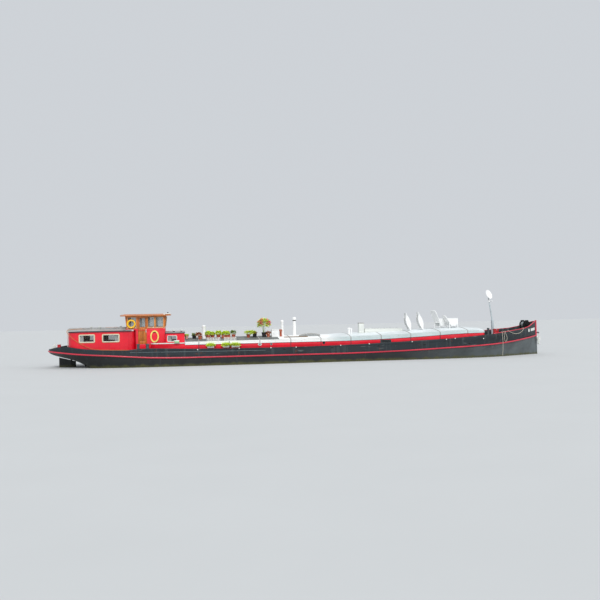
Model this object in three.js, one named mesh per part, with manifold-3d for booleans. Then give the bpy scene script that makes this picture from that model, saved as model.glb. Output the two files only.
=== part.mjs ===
// A converted river motor barge, afloat: straight stem, counter stern, aft cabin, wooden
// wheelhouse, long hold under a cambered roof. Millimetres, +X to the bow, +Y to port, +Z up,
// origin amidships on the centreline at the waterline.
import * as THREE from "three";
import { mergeVertices } from "three/addons/utils/BufferGeometryUtils.js";
import Module from "manifold-3d";

const wasm = await Module();
wasm.setup();

// Fits and facets
const GAP = 0.3; // between two pieces that touch
const WELD = 1e-3; // vertices closer than this are one
const FAR = 20000; // reach of a block that cuts all of one side away

// Hull stations, stern to stem. keel: underside. bottom: half-breadth of the flat bottom.
// turnZ, turn: top of the bilge and its half-breadth. rub: half-breadth and height of the
// rub strake. deck: half-breadth and height of the deck edge.
const STATIONS = [
  { x: -14940, keel: 860, bottom: 20, turnZ: 890, turn: 60, rub: 100, rubZ: 955, deck: 100, deckZ: 1050 },
  { x: -14800, keel: 790, bottom: 160, turnZ: 850, turn: 440, rub: 620, rubZ: 945, deck: 650, deckZ: 1048 },
  { x: -14500, keel: 690, bottom: 280, turnZ: 780, turn: 860, rub: 1100, rubZ: 922, deck: 1130, deckZ: 1043 },
  { x: -14000, keel: 560, bottom: 360, turnZ: 690, turn: 1260, rub: 1520, rubZ: 882, deck: 1550, deckZ: 1032 },
  { x: -13400, keel: 390, bottom: 380, turnZ: 600, turn: 1580, rub: 1830, rubZ: 822, deck: 1855, deckZ: 1012 },
  { x: -12800, keel: 90, bottom: 340, turnZ: 480, turn: 1800, rub: 2040, rubZ: 775, deck: 2060, deckZ: 990 },
  { x: -12200, keel: -420, bottom: 280, turnZ: 330, turn: 1980, rub: 2190, rubZ: 735, deck: 2200, deckZ: 968 },
  { x: -11400, keel: -820, bottom: 380, turnZ: 120, turn: 2150, rub: 2320, rubZ: 690, deck: 2325, deckZ: 942 },
  { x: -10400, keel: -970, bottom: 800, turnZ: -120, turn: 2290, rub: 2410, rubZ: 620, deck: 2415, deckZ: 918 },
  { x: -9000, keel: -1000, bottom: 1500, turnZ: -400, turn: 2420, rub: 2470, rubZ: 530, deck: 2470, deckZ: 903 },
  { x: -7000, keel: -1000, bottom: 2000, turnZ: -560, turn: 2485, rub: 2500, rubZ: 488, deck: 2500, deckZ: 893 },
  { x: -3000, keel: -1000, bottom: 2120, turnZ: -620, turn: 2500, rub: 2500, rubZ: 480, deck: 2500, deckZ: 880 },
  { x: 2000, keel: -1000, bottom: 2120, turnZ: -620, turn: 2500, rub: 2500, rubZ: 485, deck: 2500, deckZ: 890 },
  { x: 5500, keel: -1000, bottom: 2060, turnZ: -580, turn: 2490, rub: 2500, rubZ: 545, deck: 2500, deckZ: 935 },
  { x: 8500, keel: -1000, bottom: 1800, turnZ: -460, turn: 2400, rub: 2460, rubZ: 655, deck: 2475, deckZ: 1010 },
  { x: 10500, keel: -1000, bottom: 1300, turnZ: -260, turn: 2130, rub: 2280, rubZ: 735, deck: 2330, deckZ: 1085 },
  { x: 12000, keel: -985, bottom: 780, turnZ: -60, turn: 1600, rub: 1860, rubZ: 830, deck: 1960, deckZ: 1155 },
  { x: 13200, keel: -950, bottom: 360, turnZ: 120, turn: 980, rub: 1270, rubZ: 950, deck: 1410, deckZ: 1225 },
  { x: 14100, keel: -900, bottom: 130, turnZ: 260, turn: 460, rub: 700, rubZ: 1060, deck: 840, deckZ: 1285 },
  { x: 14600, keel: -850, bottom: 60, turnZ: 320, turn: 190, rub: 330, rubZ: 1125, deck: 430, deckZ: 1322 },
  { x: 14900, keel: -800, bottom: 30, turnZ: 350, turn: 45, rub: 50, rubZ: 1165, deck: 50, deckZ: 1345 },
];
const STEPS_PER_STATION = 2;
const RUB_BAND = 45; // half-height of the flat plating behind the rub strake
const BILGE_STEPS = 3;

// Top of the gunwale, which grows into the bow bulwark
const GUNWALE_TOP = [
  { x: -14940, z: 1070 }, { x: -14750, z: 1110 }, { x: -14450, z: 1175 }, { x: -14100, z: 1225 },
  { x: -13700, z: 1232 }, { x: -13250, z: 1155 }, { x: -12800, z: 1096 }, { x: -11800, z: 1012 }, { x: -10200, z: 965 },
  { x: -10050, z: 1050 }, { x: -9100, z: 1058 }, { x: -7600, z: 1015 }, { x: -6300, z: 962 },
  { x: -3000, z: 940 }, { x: -1000, z: 935 }, { x: 1200, z: 950 }, { x: 3300, z: 1010 },
  { x: 5400, z: 1085 }, { x: 8400, z: 1190 }, { x: 10300, z: 1325 }, { x: 11400, z: 1400 },
  { x: 12000, z: 1462 }, { x: 12600, z: 1530 }, { x: 13700, z: 1640 }, { x: 14100, z: 1740 },
  { x: 14400, z: 1870 }, { x: 14700, z: 2000 }, { x: 14900, z: 2060 },
];
const GUNWALE = { thick: 45, inset: 2 };
const RUB_STRAKE = { out: 55, half: 40, shoulder: 20 };
const CAP_RAIL = { from: 11250, out: 18, inn: 60, high: 38 };
const STEM = { back: 14900, front: 14992, half: 42, bottom: -800, top: 2130 };
const SKEG = { from: -13900, post: -12850, half: 45, deep: -985, sole: -905, top: 160 };

// Machinery and steering
const SHAFT_Z = -430;
const PROPELLER = { x: -13060, tip: 350, hub: 75, half: 90, blades: 4, chord: 210, thick: 16, pitch: 28 };
const PROPELLER_SHAFT = { radius: 30, bore: 31, from: -12960, to: -12500, mouth: -12400 };
const RUDDER = { stock: -13700, aft: -14385, fore: -13440, low: -880, aftTop: 570, foreTop: 330, half: 30 };
const STOCK = { radius: 50, bore: 51, top: 780, mouth: 300 };
const ENGINE = { from: -9800, to: -8600, half: 390, low: -800, top: 180 };

// Wells inside the hull
const AFT_WELL = { from: -12650, to: -10200, half: 1150, floor: 300 };
const ENGINE_WELL = { from: -9850, to: -8400, half: 900, floor: -800 };
const HOLD_WELL = { from: -8150, to: 8000, half: 1700, floor: -850, fore: 10500, foreHalf: 1050 };

// Aft cabin
const AFT_CABIN = { aft: -13700, fore: -9950, half: 1700, corner: 550, wall: 50, top: 2030 };
const AFT_ROOF = { over: 50, edge: 60, camber: 180 };
const AFT_WINDOWS = [{ from: -13020, to: -12210 }, { from: -11740, to: -10850 }];
const AFT_WINDOW = { low: 1465, high: 1860, corner: 80 };
const PANE = 8;

// Wheelhouse
const BASE = { aft: -9930, fore: -8270, half: 1500, wall: 50, top: 2160, shelf: 80, shelfAft: -10480 };
const DOOR = { from: -9790, to: -9300, sill: 1280, head: 2800, lap: 20, thick: 35, running: 10, travel: 480 };
const DOOR_PANE = { from: -9705, to: -9385, low: 2240, high: 2760 };
const RAIL = { to: -8760, wide: 60, high: 40 };
const WOOD = { thick: 45, top: 2880, rake: 80, aft: -10420, fore: -8270 };
const SIDE_PANES = [
  { from: -10350, to: -9880 }, { from: -9225, to: -8870 }, { from: -8770, to: -8360 },
];
const PANE_ROW = { low: 2240, high: 2810, corner: 30 };
const FRONT_PANES = 4;
const AFT_PANES = 3;
const WHEEL_ROOF = { aft: -10780, fore: -7930, half: 1720, edge: 45, camber: 70 };
const HORN = { x: -8010, y: -1480, long: 330, mouth: 55, throat: 18 };
const COMPANIONWAY = { from: 780, to: 1340, high: 1780 }; // beside the console, down to the hold
const FLOOR = { low: 850, top: 980, half: 1380 };
const CONSOLE = { back: -8660, face: -8500, front: -8330, half: 700, knee: 1700, top: 1930 };
const HELM = { x: -8950, z: 1560, rim: 340, tube: 18, hub: 60, spokes: 6, shaft: 18, bore: 19 };

// Trunk cabin between the wheelhouse and the hold
const TRUNK = { aft: -8240, fore: -7160, half: 1700, wall: 50, top: 1850, edge: 50, camber: 60 };
const TRUNK_WINDOW = { from: -8130, to: -7600, low: 1400, high: 1720, corner: 50 };

// Hold coaming and roof
const COAMING = { aft: -9050, fore: 10900, half: 1950, wall: 60, corner: 450, aftCorner: 250, frontHalf: 1480 };
const COAMING_TOP = [
  { x: -9050, z: 1270 }, { x: -7160, z: 1270 }, { x: -7150, z: 1190 }, { x: 2200, z: 1195 },
  { x: 4000, z: 1230 }, { x: 5540, z: 1280 }, { x: 7200, z: 1350 }, { x: 8640, z: 1430 },
  { x: 9600, z: 1465 }, { x: 10900, z: 1480 },
];
const LEDGE = { wide: 235, thick: 50 };
const ROOF_EDGE = [
  { x: -7140, z: 1350 }, { x: 1300, z: 1370 }, { x: 2200, z: 1405 }, { x: 5900, z: 1500 },
  { x: 8200, z: 1590 }, { x: 9300, z: 1650 }, { x: 10100, z: 1640 }, { x: 10900, z: 1580 },
];
const ROOF_JOINTS = [-7140, -2860, 2520, 7980, 10880];
const HOLD_ROOF = { half: 1975, camber: 185, thick: 90, leg: 70, steps: 8, endPlate: 40 };

// Things that stand on the roof. r0, r1: foot and top radius. tall: height above the roof.
const ROOF_ROUNDS = [
  { x: -6990, y: -900, r0: 75, r1: 95, tall: 200, what: "pot" },
  { x: -6600, y: -900, r0: 95, r1: 125, tall: 250, what: "bucket" },
  { x: -6180, y: -1250, r0: 80, r1: 110, tall: 190, what: "pot" },
  { x: -6030, y: -900, r0: 180, r1: 105, tall: 780, what: "vent" },
  { x: -5720, y: -1000, r0: 90, r1: 125, tall: 230, what: "pot" },
  { x: -5440, y: -1050, r0: 85, r1: 120, tall: 200, what: "pot" },
  { x: -5130, y: -1000, r0: 95, r1: 130, tall: 230, what: "pot" },
  { x: -4300, y: -1000, r0: 80, r1: 110, tall: 200, what: "pot" },
  { x: -3420, y: -1000, r0: 75, r1: 105, tall: 190, what: "pot" },
  { x: -3060, y: -1000, r0: 100, r1: 125, tall: 240, what: "pot" },
  { x: -2500, y: -950, r0: 110, r1: 150, tall: 280, what: "pot" },
  { x: -2260, y: -1050, r0: 80, r1: 110, tall: 230, what: "pot" },
  { x: -1500, y: -900, r0: 90, r1: 90, tall: 420, what: "post" },
  { x: -1260, y: 300, r0: 85, r1: 95, tall: 930, what: "vent" },
  { x: -660, y: -800, r0: 105, r1: 105, tall: 1130, what: "vent" },
  { x: 2640, y: -900, r0: 95, r1: 95, tall: 370, what: "post" },
];
const ROUND_SIDES = 8;
// Boxes on the roof: x from, x to, y from, y to, height
const ROOF_BOXES = [
  { from: -5010, to: -4500, low: -1120, high: -900, tall: 210 },
  { from: -2060, to: -1640, low: -1120, high: -700, tall: 430 },
  { from: 3270, to: 3610, low: -800, high: -450, tall: 620 },
  { from: 3660, to: 6000, low: -700, high: 700, tall: 210 },
];
// Clipped foliage over the pots: centre, half-width and half-height
const CROWNS = [
  { x: -5440, y: -1050, wide: 170, high: 110 },
  { x: -5130, y: -1000, wide: 180, high: 130 },
  { x: -4760, y: -1010, wide: 240, high: 100 },
  { x: -3420, y: -1000, wide: 230, high: 90 },
  { x: -2540, y: -950, wide: 400, high: 420 },
];

// Bow fittings
const TABERNACLE = { x: 12060, half: 62, cheek: 35, fore: 60, aft: 60, block: 1560, pin: 2120, top: 2210 };
const MAST = { radius: 42, tip: 1190, lean: 8.5, heel: 75, pin: 22, bore: 23 };
const DISH = { up: 1700, radius: 300, deep: 75, thick: 14, turn: 35, tilt: 22, bracket: 28 };
const LAMP = { up: 1240, radius: 60, tall: 150 };
const WINDLASS = { from: 13950, to: 14450, half: 330, cheek: 40, top: 2150, axis: 1880, base: 60 };
const DRUM = { radius: 150, flange: 240, flangeThick: 30, half: 280, shaft: 35, bore: 36, end: 470, endRadius: 110 };
const ANCHOR = { x: 15110, shank: 26, top: 1420, crown: 640, fluke: 330, flukeTop: 1120, turn: 50 };
const HAWSE = { low: 1300, high: 1380, out: 140, half: 60, bore: 40 };

// Bollard pairs: centre of the pair, half-spacing along x, base height and post height
const MID_BOLLARDS = { x: -9500, y: 2180, spacing: 255, radius: 85, cap: 105, base: 45, tall: 400, plate: 480, wide: 130 };
const BOW_BOLLARDS = { x: 12390, y: 1150, spacing: 160, radius: 65, cap: 85, base: 40, tall: 480, plate: 300, wide: 110 };

// Deck seating on the roof
const FOLDED_CHAIRS = [{ name: "folded_chair_aft", x: 6440 }, { name: "folded_chair_fore", x: 7220 }];
const FOLDED = { y: -750, wide: 440, tall: 1080, lean: 14, tube: 16, bulge: 130, foot: 30, bend: 0.45 };
const LOUNGERS = [
  { name: "deck_armchair_aft", x: 8560, y: -300, back: 740, lean: 26, turn: 22 },
  { name: "deck_armchair_fore", x: 9130, y: -850, back: 400, lean: 36, turn: 0 },
];
const LOUNGER = { wide: 560, long: 560, seat: 330, plate: 80, leg: 50, arm: 560, side: 30, skirt: 60 };

// Ropes, hose and lifebuoy
const LIFEBUOY = { x: -10160, z: 2440, ring: 205, tube: 52 };
const HOSE_COIL = { x: -8860, z: 1700, wide: 250, tall: 350, ring: 85, thick: 70 };
const AFT_ROPE = { radius: 13, sides: 8 };
const AFT_ROPE_ROUTE = [
  [-12400, -900, 2234.5], [-12800, -1050, 2219], [-13350, -1180, 2201], [-13570, -1350, 2182],
  [-13685, -1510, 2152], [-13710, -1650, 2060], [-13620, -1740, 1940], [-13340, -1745, 1650],
  [-13040, -1745, 1420], [-12740, -1745, 1250], [-12490, -1770, 1130], [-12300, -1870, 1080],
  [-12120, -2020, 1058], [-11950, -2150, 1043], [-11800, -2236, 1027], [-11600, -2273, 1020.5],
  [-11400, -2301, 1014.7], [-11200, -2323, 1008.8], [-11000, -2343, 1002.9], [-10800, -2362, 997],
  [-10620, -2374, 991.7], [-10510, -2368, 989], [-10400, -2342, 983], [-10280, -2300, 977],
  [-10150, -2240, 973], [-10050, -2198, 973], [-9980, -2182, 975], [-9840.3, -2180, 975],
];
const BOW_ROPE = { radius: 12, sides: 8 };
const BOW_ROPE_ROUTE = [
  [12615.3, -1150, 1400], [12690, -1150, 1400], [12850, -1135, 1402], [13050, -1105, 1418], [13250, -1072, 1468],
  [13400, -1055, 1545], [13490, -1062, 1615], [13530, -1082, 1658], [13548, -1112, 1677], [13560, -1170, 1681],
  [13568, -1230, 1677], [13572, -1248, 1640], [13520, -1256, 1560], [13420, -1307, 1470], [13280, -1386, 1400],
  [13120, -1473, 1362], [12940, -1564, 1350], [12760, -1655, 1372], [12600, -1738, 1415], [12460, -1800, 1468],
  [12385, -1843, 1505], [12352, -1861, 1530], [12343, -1853, 1551], [12336, -1805, 1555], [12328, -1744, 1550],
  [12322, -1715, 1520], [12305, -1688, 1472], [12275, -1665, 1438], [12230, -1650, 1425], [12180, -1655, 1432],
  [12135, -1690, 1458], [12105, -1740, 1492], [12092, -1800, 1516], [12086, -1850, 1524], [12080, -1905, 1526],
  [12074, -1960, 1521], [12072, -1976, 1490], [12110, -1958, 1370], [12180, -1920, 1230], [12208, -1895, 1090],
  [12185, -1890, 970], [12120, -1912, 905], [12050, -1946, 950], [12010, -1972, 1080], [11995, -1990, 1230],
  [11988, -1998, 1380], [11984, -2000, 1468], [11982, -1992, 1509], [11977, -1940, 1515], [11972, -1884, 1510],
  [11962, -1856, 1478], [11942, -1836, 1445], [11912, -1826, 1432], [11880, -1838, 1444], [11858, -1868, 1466],
  [11848, -1904, 1490], [11842, -1940, 1501], [11838, -1990, 1503], [11836, -2038, 1498], [11838, -2052, 1466],
  [11846, -2055, 1380], [11858, -2050, 1250], [11870, -2042, 1100], [11880, -2034, 950], [11888, -2022, 800],
  [11892, -2008, 640], [11893, -1990, 450], [11890, -1955, 250], [11890, -1920, 60],
];

const BLACK = paint("hull black", 0x14181b, 0.35, 0.3);
const RED = paint("red paint", 0xb5122b, 0.4, 0.2);
const WHITE = paint("white paint", 0xe9ebe6, 0.5, 0.1);
const GREY = paint("grey paint", 0x8d9390, 0.6, 0.1);
const VARNISH = paint("varnished wood", 0xb5651d, 0.35, 0);
const GLASS = paint("glass", 0x6f8790, 0.05, 0);
const IRON = paint("black iron", 0x1d1f20, 0.6, 0.5);
const BRONZE = paint("bronze", 0xa9803f, 0.4, 0.8);
const YELLOW = paint("yellow plastic", 0xf2b90f, 0.5, 0);
const ROPE = paint("rope", 0xd08a3c, 0.9, 0);
const PALE_ROPE = paint("pale rope", 0xcfc9b4, 0.9, 0);
const PLASTIC = paint("white plastic", 0xf4f4f2, 0.45, 0);

const boat = new THREE.Group();

function paint(name, color, roughness, metalness) {
  const material = new THREE.MeshStandardMaterial({ color, roughness, metalness });
  material.name = name;
  return material;
}

// Solids

// A closed geometry as a solid that can be joined and cut
function solidFrom(geometry) {
  const plain = geometry.index ? geometry.toNonIndexed() : geometry.clone();
  plain.deleteAttribute("normal");
  plain.deleteAttribute("uv");
  const merged = mergeVertices(plain, WELD);
  return manifoldOf(Array.from(merged.attributes.position.array), Array.from(merged.index.array));
}

function manifoldOf(positions, faces) {
  const mesh = new wasm.Mesh({
    numProp: 3,
    vertProperties: new Float32Array(positions),
    triVerts: new Uint32Array(faces),
  });
  return new wasm.Manifold(mesh);
}

function geometryFrom(solid) {
  const mesh = solid.getMesh();
  const geometry = new THREE.BufferGeometry();
  geometry.setAttribute("position", new THREE.BufferAttribute(new Float32Array(mesh.vertProperties), 3));
  geometry.setIndex(Array.from(mesh.triVerts));
  geometry.computeVertexNormals();
  return geometry;
}

function add(name, solid, material) {
  const mesh = new THREE.Mesh(geometryFrom(solid), material);
  mesh.name = name;
  boat.add(mesh);
}

// The same solid on the other side of the centreline
function mirrored(solid) {
  const mesh = solid.getMesh();
  const positions = Array.from(mesh.vertProperties);
  for (let i = 1; i < positions.length; i += 3) positions[i] = -positions[i];
  const faces = [];
  for (let i = 0; i < mesh.triVerts.length; i += 3) {
    faces.push(mesh.triVerts[i], mesh.triVerts[i + 2], mesh.triVerts[i + 1]);
  }
  return manifoldOf(positions, faces);
}

function addPair(name, starboard, material) {
  add(`${name}_starboard`, starboard, material);
  add(`${name}_port`, mirrored(starboard), material);
}

function joined(solids) {
  return solids.reduce((whole, piece) => whole.add(piece));
}

function block(x0, x1, y0, y1, z0, z1) {
  const geometry = new THREE.BoxGeometry(x1 - x0, y1 - y0, z1 - z0);
  return solidFrom(geometry.translate((x0 + x1) / 2, (y0 + y1) / 2, (z0 + z1) / 2));
}

function extruded(points, depth) {
  const shape = new THREE.Shape(points.map(([u, v]) => new THREE.Vector2(u, v)));
  return new THREE.ExtrudeGeometry(shape, { depth, bevelEnabled: false, steps: 1 });
}

// Prisms: an outline in the plane across the named axis, from one place on it to another
function prismX(outline, x0, x1) {
  const turn = new THREE.Matrix4().makeBasis(
    new THREE.Vector3(0, 1, 0), new THREE.Vector3(0, 0, 1), new THREE.Vector3(1, 0, 0));
  return solidFrom(extruded(outline, x1 - x0).applyMatrix4(turn).translate(x0, 0, 0));
}

function prismY(outline, y0, y1) {
  return solidFrom(extruded(outline, y1 - y0).rotateX(Math.PI / 2).translate(0, y1, 0));
}

function prismZ(outline, z0, z1) {
  return solidFrom(extruded(outline, z1 - z0).translate(0, 0, z0));
}

// A round bar or cone from a to b
function bar(a, b, radiusA, radiusB = radiusA, sides = 12) {
  const from = new THREE.Vector3(...a);
  const along = new THREE.Vector3(...b).sub(from);
  const geometry = new THREE.CylinderGeometry(radiusB, radiusA, along.length(), sides);
  const turn = new THREE.Quaternion().setFromUnitVectors(
    new THREE.Vector3(0, 1, 0), along.clone().normalize());
  geometry.applyQuaternion(turn);
  const middle = from.add(along.multiplyScalar(0.5));
  return solidFrom(geometry.translate(middle.x, middle.y, middle.z));
}

// A rectangle with rounded corners, as points
function roundedOutline(u0, u1, v0, v1, radius, steps = 3) {
  const corners = [
    [u1 - radius, v0 + radius, -90], [u1 - radius, v1 - radius, 0],
    [u0 + radius, v1 - radius, 90], [u0 + radius, v0 + radius, 180],
  ];
  return corners.flatMap(([u, v, start]) => arc(u, v, radius, start, start + 90, steps));
}

function arc(u, v, radius, startDeg, endDeg, steps) {
  const points = [];
  for (let i = 0; i <= steps; i++) {
    const angle = THREE.MathUtils.degToRad(startDeg + ((endDeg - startDeg) * i) / steps);
    points.push([u + radius * Math.cos(angle), v + radius * Math.sin(angle)]);
  }
  return points;
}

// A solid through rings of points that match one to one, with flat ends. flat gives an end
// ring's points in its own plane.
function loft(rings, flat) {
  const count = rings[0].length;
  const positions = rings.flat(2);
  const faces = [];
  for (let i = 0; i + 1 < rings.length; i++) {
    for (let j = 0; j < count; j++) {
      const near = i * count + j;
      const next = i * count + ((j + 1) % count);
      faces.push(near, next, next + count, near, next + count, near + count);
    }
  }
  addEnd(faces, flat(rings[0], 0), 0, true);
  addEnd(faces, flat(rings.at(-1), rings.length - 1), (rings.length - 1) * count, false);
  return manifoldOf(positions, facesOut(positions, faces));
}

function addEnd(faces, outline, offset, first) {
  const contour = outline.map(([u, v]) => new THREE.Vector2(u, v));
  const outlineTurnsLeft = THREE.ShapeUtils.area(contour) > 0;
  for (const [a, b, c] of THREE.ShapeUtils.triangulateShape(contour, [])) {
    const turned = new THREE.Vector2().subVectors(contour[b], contour[a])
      .cross(new THREE.Vector2().subVectors(contour[c], contour[a])) > 0;
    const sameWay = turned === outlineTurnsLeft;
    const [p, q] = sameWay === first ? [c, b] : [b, c];
    faces.push(a + offset, p + offset, q + offset);
  }
}

// The faces, turned round if they point inwards
function facesOut(positions, faces) {
  const at = (i) => new THREE.Vector3(positions[3 * i], positions[3 * i + 1], positions[3 * i + 2]);
  let volume = 0;
  for (let i = 0; i < faces.length; i += 3) {
    volume += at(faces[i]).dot(at(faces[i + 1]).cross(at(faces[i + 2])));
  }
  return volume > 0 ? faces : faces.toReversed();
}

const acrossX = (ring) => ring.map(([, y, z]) => [y, z]);

// A section swept along a plan path on the starboard side. section(i) gives [out, z] points,
// out being the distance outboard of the path.
function sweep(path, section) {
  const rings = path.map(([x, y], i) => {
    const [nx, ny] = outboard(path, i);
    return section(i).map(([out, z]) => [x + nx * out, y + ny * out, z]);
  });
  return loft(rings, (ring, i) => section(i));
}

// The direction outboard of a path at a point, long enough to keep offsets parallel
function outboard(path, i) {
  const normals = [];
  for (const j of [i - 1, i]) {
    if (j < 0 || j + 1 >= path.length) continue;
    const dx = path[j + 1][0] - path[j][0];
    const dy = path[j + 1][1] - path[j][1];
    const length = Math.hypot(dx, dy);
    normals.push([dy / length, -dx / length]);
  }
  const sum = normals.reduce((a, b) => [a[0] + b[0], a[1] + b[1]]);
  const scale = normals.length / (sum[0] ** 2 + sum[1] ** 2);
  return [sum[0] * scale, sum[1] * scale];
}

// A value read off a table of x and z by straight lines
function heightAt(table, x) {
  const after = Math.max(1, table.findIndex((row) => row.x >= x));
  const [a, b] = x >= table.at(-1).x ? table.slice(-2) : [table[after - 1], table[after]];
  return a.z + ((b.z - a.z) * (x - a.x)) / (b.x - a.x);
}

// Hull

// The stations with smooth ones between them
function hullStations() {
  const stations = [];
  for (let i = 0; i + 1 < STATIONS.length; i++) {
    for (let step = 0; step < STEPS_PER_STATION; step++) {
      stations.push(stationBetween(i, step / STEPS_PER_STATION));
    }
  }
  stations.push(STATIONS.at(-1));
  return stations;
}

function stationBetween(i, t) {
  const rows = [-1, 0, 1, 2].map((k) => STATIONS[THREE.MathUtils.clamp(i + k, 0, STATIONS.length - 1)]);
  const x = THREE.MathUtils.lerp(rows[1].x, rows[2].x, t);
  const station = { x };
  for (const column of Object.keys(rows[1])) {
    if (column !== "x") station[column] = hermite(rows, column, t);
  }
  return station;
}

// A smooth curve through four rows that are unevenly spaced along x
function hermite(rows, column, t) {
  const [a, b, c, d] = rows;
  const span = c.x - b.x;
  const slopeB = b === a ? (c[column] - b[column]) / span : (c[column] - a[column]) / (c.x - a.x);
  const slopeC = d === c ? (c[column] - b[column]) / span : (d[column] - b[column]) / (d.x - b.x);
  const h = [2 * t ** 3 - 3 * t ** 2 + 1, t ** 3 - 2 * t ** 2 + t, -2 * t ** 3 + 3 * t ** 2, t ** 3 - t ** 2];
  return h[0] * b[column] + h[1] * span * slopeB + h[2] * c[column] + h[3] * span * slopeC;
}

const HULL = hullStations();

function halfSection(s) {
  const points = [[s.bottom, s.keel]];
  const corner = [s.turn, s.keel + (s.turn > s.bottom ? 0.1 : 0) * (s.turnZ - s.keel)];
  for (let i = 1; i <= BILGE_STEPS; i++) {
    const t = i / BILGE_STEPS;
    const blend = (k, from, to) => (1 - t) ** 2 * from + 2 * t * (1 - t) * corner[k] + t ** 2 * to;
    points.push([blend(0, s.bottom, s.turn), blend(1, s.keel, s.turnZ)]);
  }
  points.push([s.rub, s.rubZ - RUB_BAND], [s.rub, s.rubZ + RUB_BAND], [s.deck, s.deckZ]);
  return points;
}

function hullRing(s) {
  const half = halfSection(s);
  const port = half.map(([y, z]) => [s.x, y, z]);
  const starboard = half.toReversed().map(([y, z]) => [s.x, -y, z]);
  return [...port, ...starboard];
}

// All that lies under the deck, to seat pieces on its slope
function belowDeck() {
  const half = STATIONS[10].deck + FAR / 10;
  const rings = HULL.map((s) => {
    const top = s.deckZ + GAP;
    return [[s.x, -half, -FAR], [s.x, half, -FAR], [s.x, half, top], [s.x, -half, top]];
  });
  return loft(rings, acrossX);
}

const BELOW_DECK = belowDeck();
const onDeck = (solid) => solid.subtract(BELOW_DECK);
const deckAt = (x) => heightAt(HULL.map((s) => ({ x: s.x, z: s.deckZ })), x);

function sternFrame() {
  const { from, post, half, deep, sole, top } = SKEG;
  const outline = [
    [from, deep], [-11000, deep], [-11000, top], [post - 90, top], [post, SHAFT_Z], [post, sole], [from, sole],
  ];
  const boss = bar([post - 60, 0, SHAFT_Z], [-12400, 0, SHAFT_Z], 70, 110);
  return prismY(outline, -half, half).add(boss);
}

function hull() {
  const { from, to, half, floor, fore, foreHalf } = HOLD_WELL;
  const wells = [
    block(AFT_WELL.from, AFT_WELL.to, -AFT_WELL.half, AFT_WELL.half, AFT_WELL.floor, FAR),
    block(ENGINE_WELL.from, ENGINE_WELL.to, -ENGINE_WELL.half, ENGINE_WELL.half, ENGINE_WELL.floor, FAR),
    block(from, to, -half, half, floor, FAR),
    block(to - 10, fore, -foreHalf, foreHalf, floor, FAR),
    bar([RUDDER.stock, 0, STOCK.mouth], [RUDDER.stock, 0, STOCK.top + 40], STOCK.bore, STOCK.bore, 24),
    bar([SKEG.post - 200, 0, SHAFT_Z], [PROPELLER_SHAFT.mouth, 0, SHAFT_Z],
      PROPELLER_SHAFT.bore, PROPELLER_SHAFT.bore, 16),
  ];
  const body = loft(HULL.map(hullRing), acrossX).add(sternFrame());
  return wells.reduce((whole, well) => whole.subtract(well), body);
}

// The hull's edge in plan on the starboard side, from the middle of the stern to the stem
function edgePath(column, fromX = -Infinity) {
  const path = HULL.map((s) => [s.x, -s[column]]).filter(([x]) => x >= fromX);
  return fromX === -Infinity ? [[HULL[0].x, -GAP / 2], ...path] : path;
}

function rubStrake() {
  const { out, half, shoulder } = RUB_STRAKE;
  const path = edgePath("rub");
  const heights = [HULL[0], ...HULL].map((s) => s.rubZ);
  return sweep(path, (i) => [
    [GAP, heights[i] - half], [out - 12, heights[i] - half + 4], [out, heights[i] - shoulder],
    [out, heights[i] + shoulder], [out - 12, heights[i] + half - 4], [GAP, heights[i] + half],
  ]);
}

function gunwale() {
  const { thick, inset } = GUNWALE;
  const path = edgePath("deck");
  return onDeck(sweep(path, (i) => {
    const top = heightAt(GUNWALE_TOP, path[i][0]);
    return [[-thick, top], [-inset, top], [-inset, 0], [-thick, 0]];
  }));
}

function capRail() {
  const { from, out, inn, high } = CAP_RAIL;
  const path = edgePath("deck", from);
  return sweep(path, (i) => {
    const low = heightAt(GUNWALE_TOP, path[i][0]) + GAP;
    return [[-inn, low], [-inn, low + high], [out, low + high], [out, low]];
  });
}

function stemBar() {
  const { back, front, half, bottom, top } = STEM;
  const nose = front - 25;
  const outline = [
    [back + GAP, -half], [nose, -half], [front, -half / 2], [front, half / 2], [nose, half], [back + GAP, half],
  ];
  const eye = block(front - 10, front + HAWSE.out, -HAWSE.half, HAWSE.half, HAWSE.low, HAWSE.high);
  const hole = block(ANCHOR.x - HAWSE.bore, ANCHOR.x + HAWSE.bore, -HAWSE.bore, HAWSE.bore, 0, FAR);
  return prismZ(outline, bottom, top).add(eye.subtract(hole));
}

// Steering and drive

function rudder() {
  const { stock, aft, fore, low, aftTop, foreTop, half } = RUDDER;
  const blade = prismY([[aft, low], [fore, low], [fore, foreTop], [aft, aftTop]], -half, half);
  const post = bar([stock, 0, low], [stock, 0, STOCK.top], STOCK.radius, STOCK.radius, 24);
  return blade.add(post);
}

function propeller() {
  const { x, tip, hub, half, blades, chord, thick, pitch } = PROPELLER;
  const blade = new THREE.BoxGeometry(thick, chord, tip - hub / 2);
  blade.rotateZ(THREE.MathUtils.degToRad(90 - pitch)).translate(0, 0, (tip + hub / 2) / 2);
  const pieces = [bar([x - half, 0, SHAFT_Z], [x + half, 0, SHAFT_Z], hub * 0.7, hub)];
  for (let i = 0; i < blades; i++) {
    const turned = blade.clone().rotateX((2 * Math.PI * i) / blades);
    pieces.push(solidFrom(turned.translate(x, 0, SHAFT_Z)));
  }
  const { radius, from, to } = PROPELLER_SHAFT;
  pieces.push(bar([from - half, 0, SHAFT_Z], [to, 0, SHAFT_Z], radius, radius, 16));
  return joined(pieces);
}

function engine() {
  const { from, to, half, low, top } = ENGINE;
  const gearbox = block(from - 30, from + 300, -half / 2, half / 2, low + GAP, -150);
  return block(from + 250, to, -half, half, low + GAP, top).add(gearbox);
}

// Aft cabin

function aftCabinOutline(grow) {
  const { aft, fore, half, corner } = AFT_CABIN;
  return roundedOutline(aft - grow, fore + grow, -half - grow, half + grow, corner + grow, 5);
}

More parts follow.
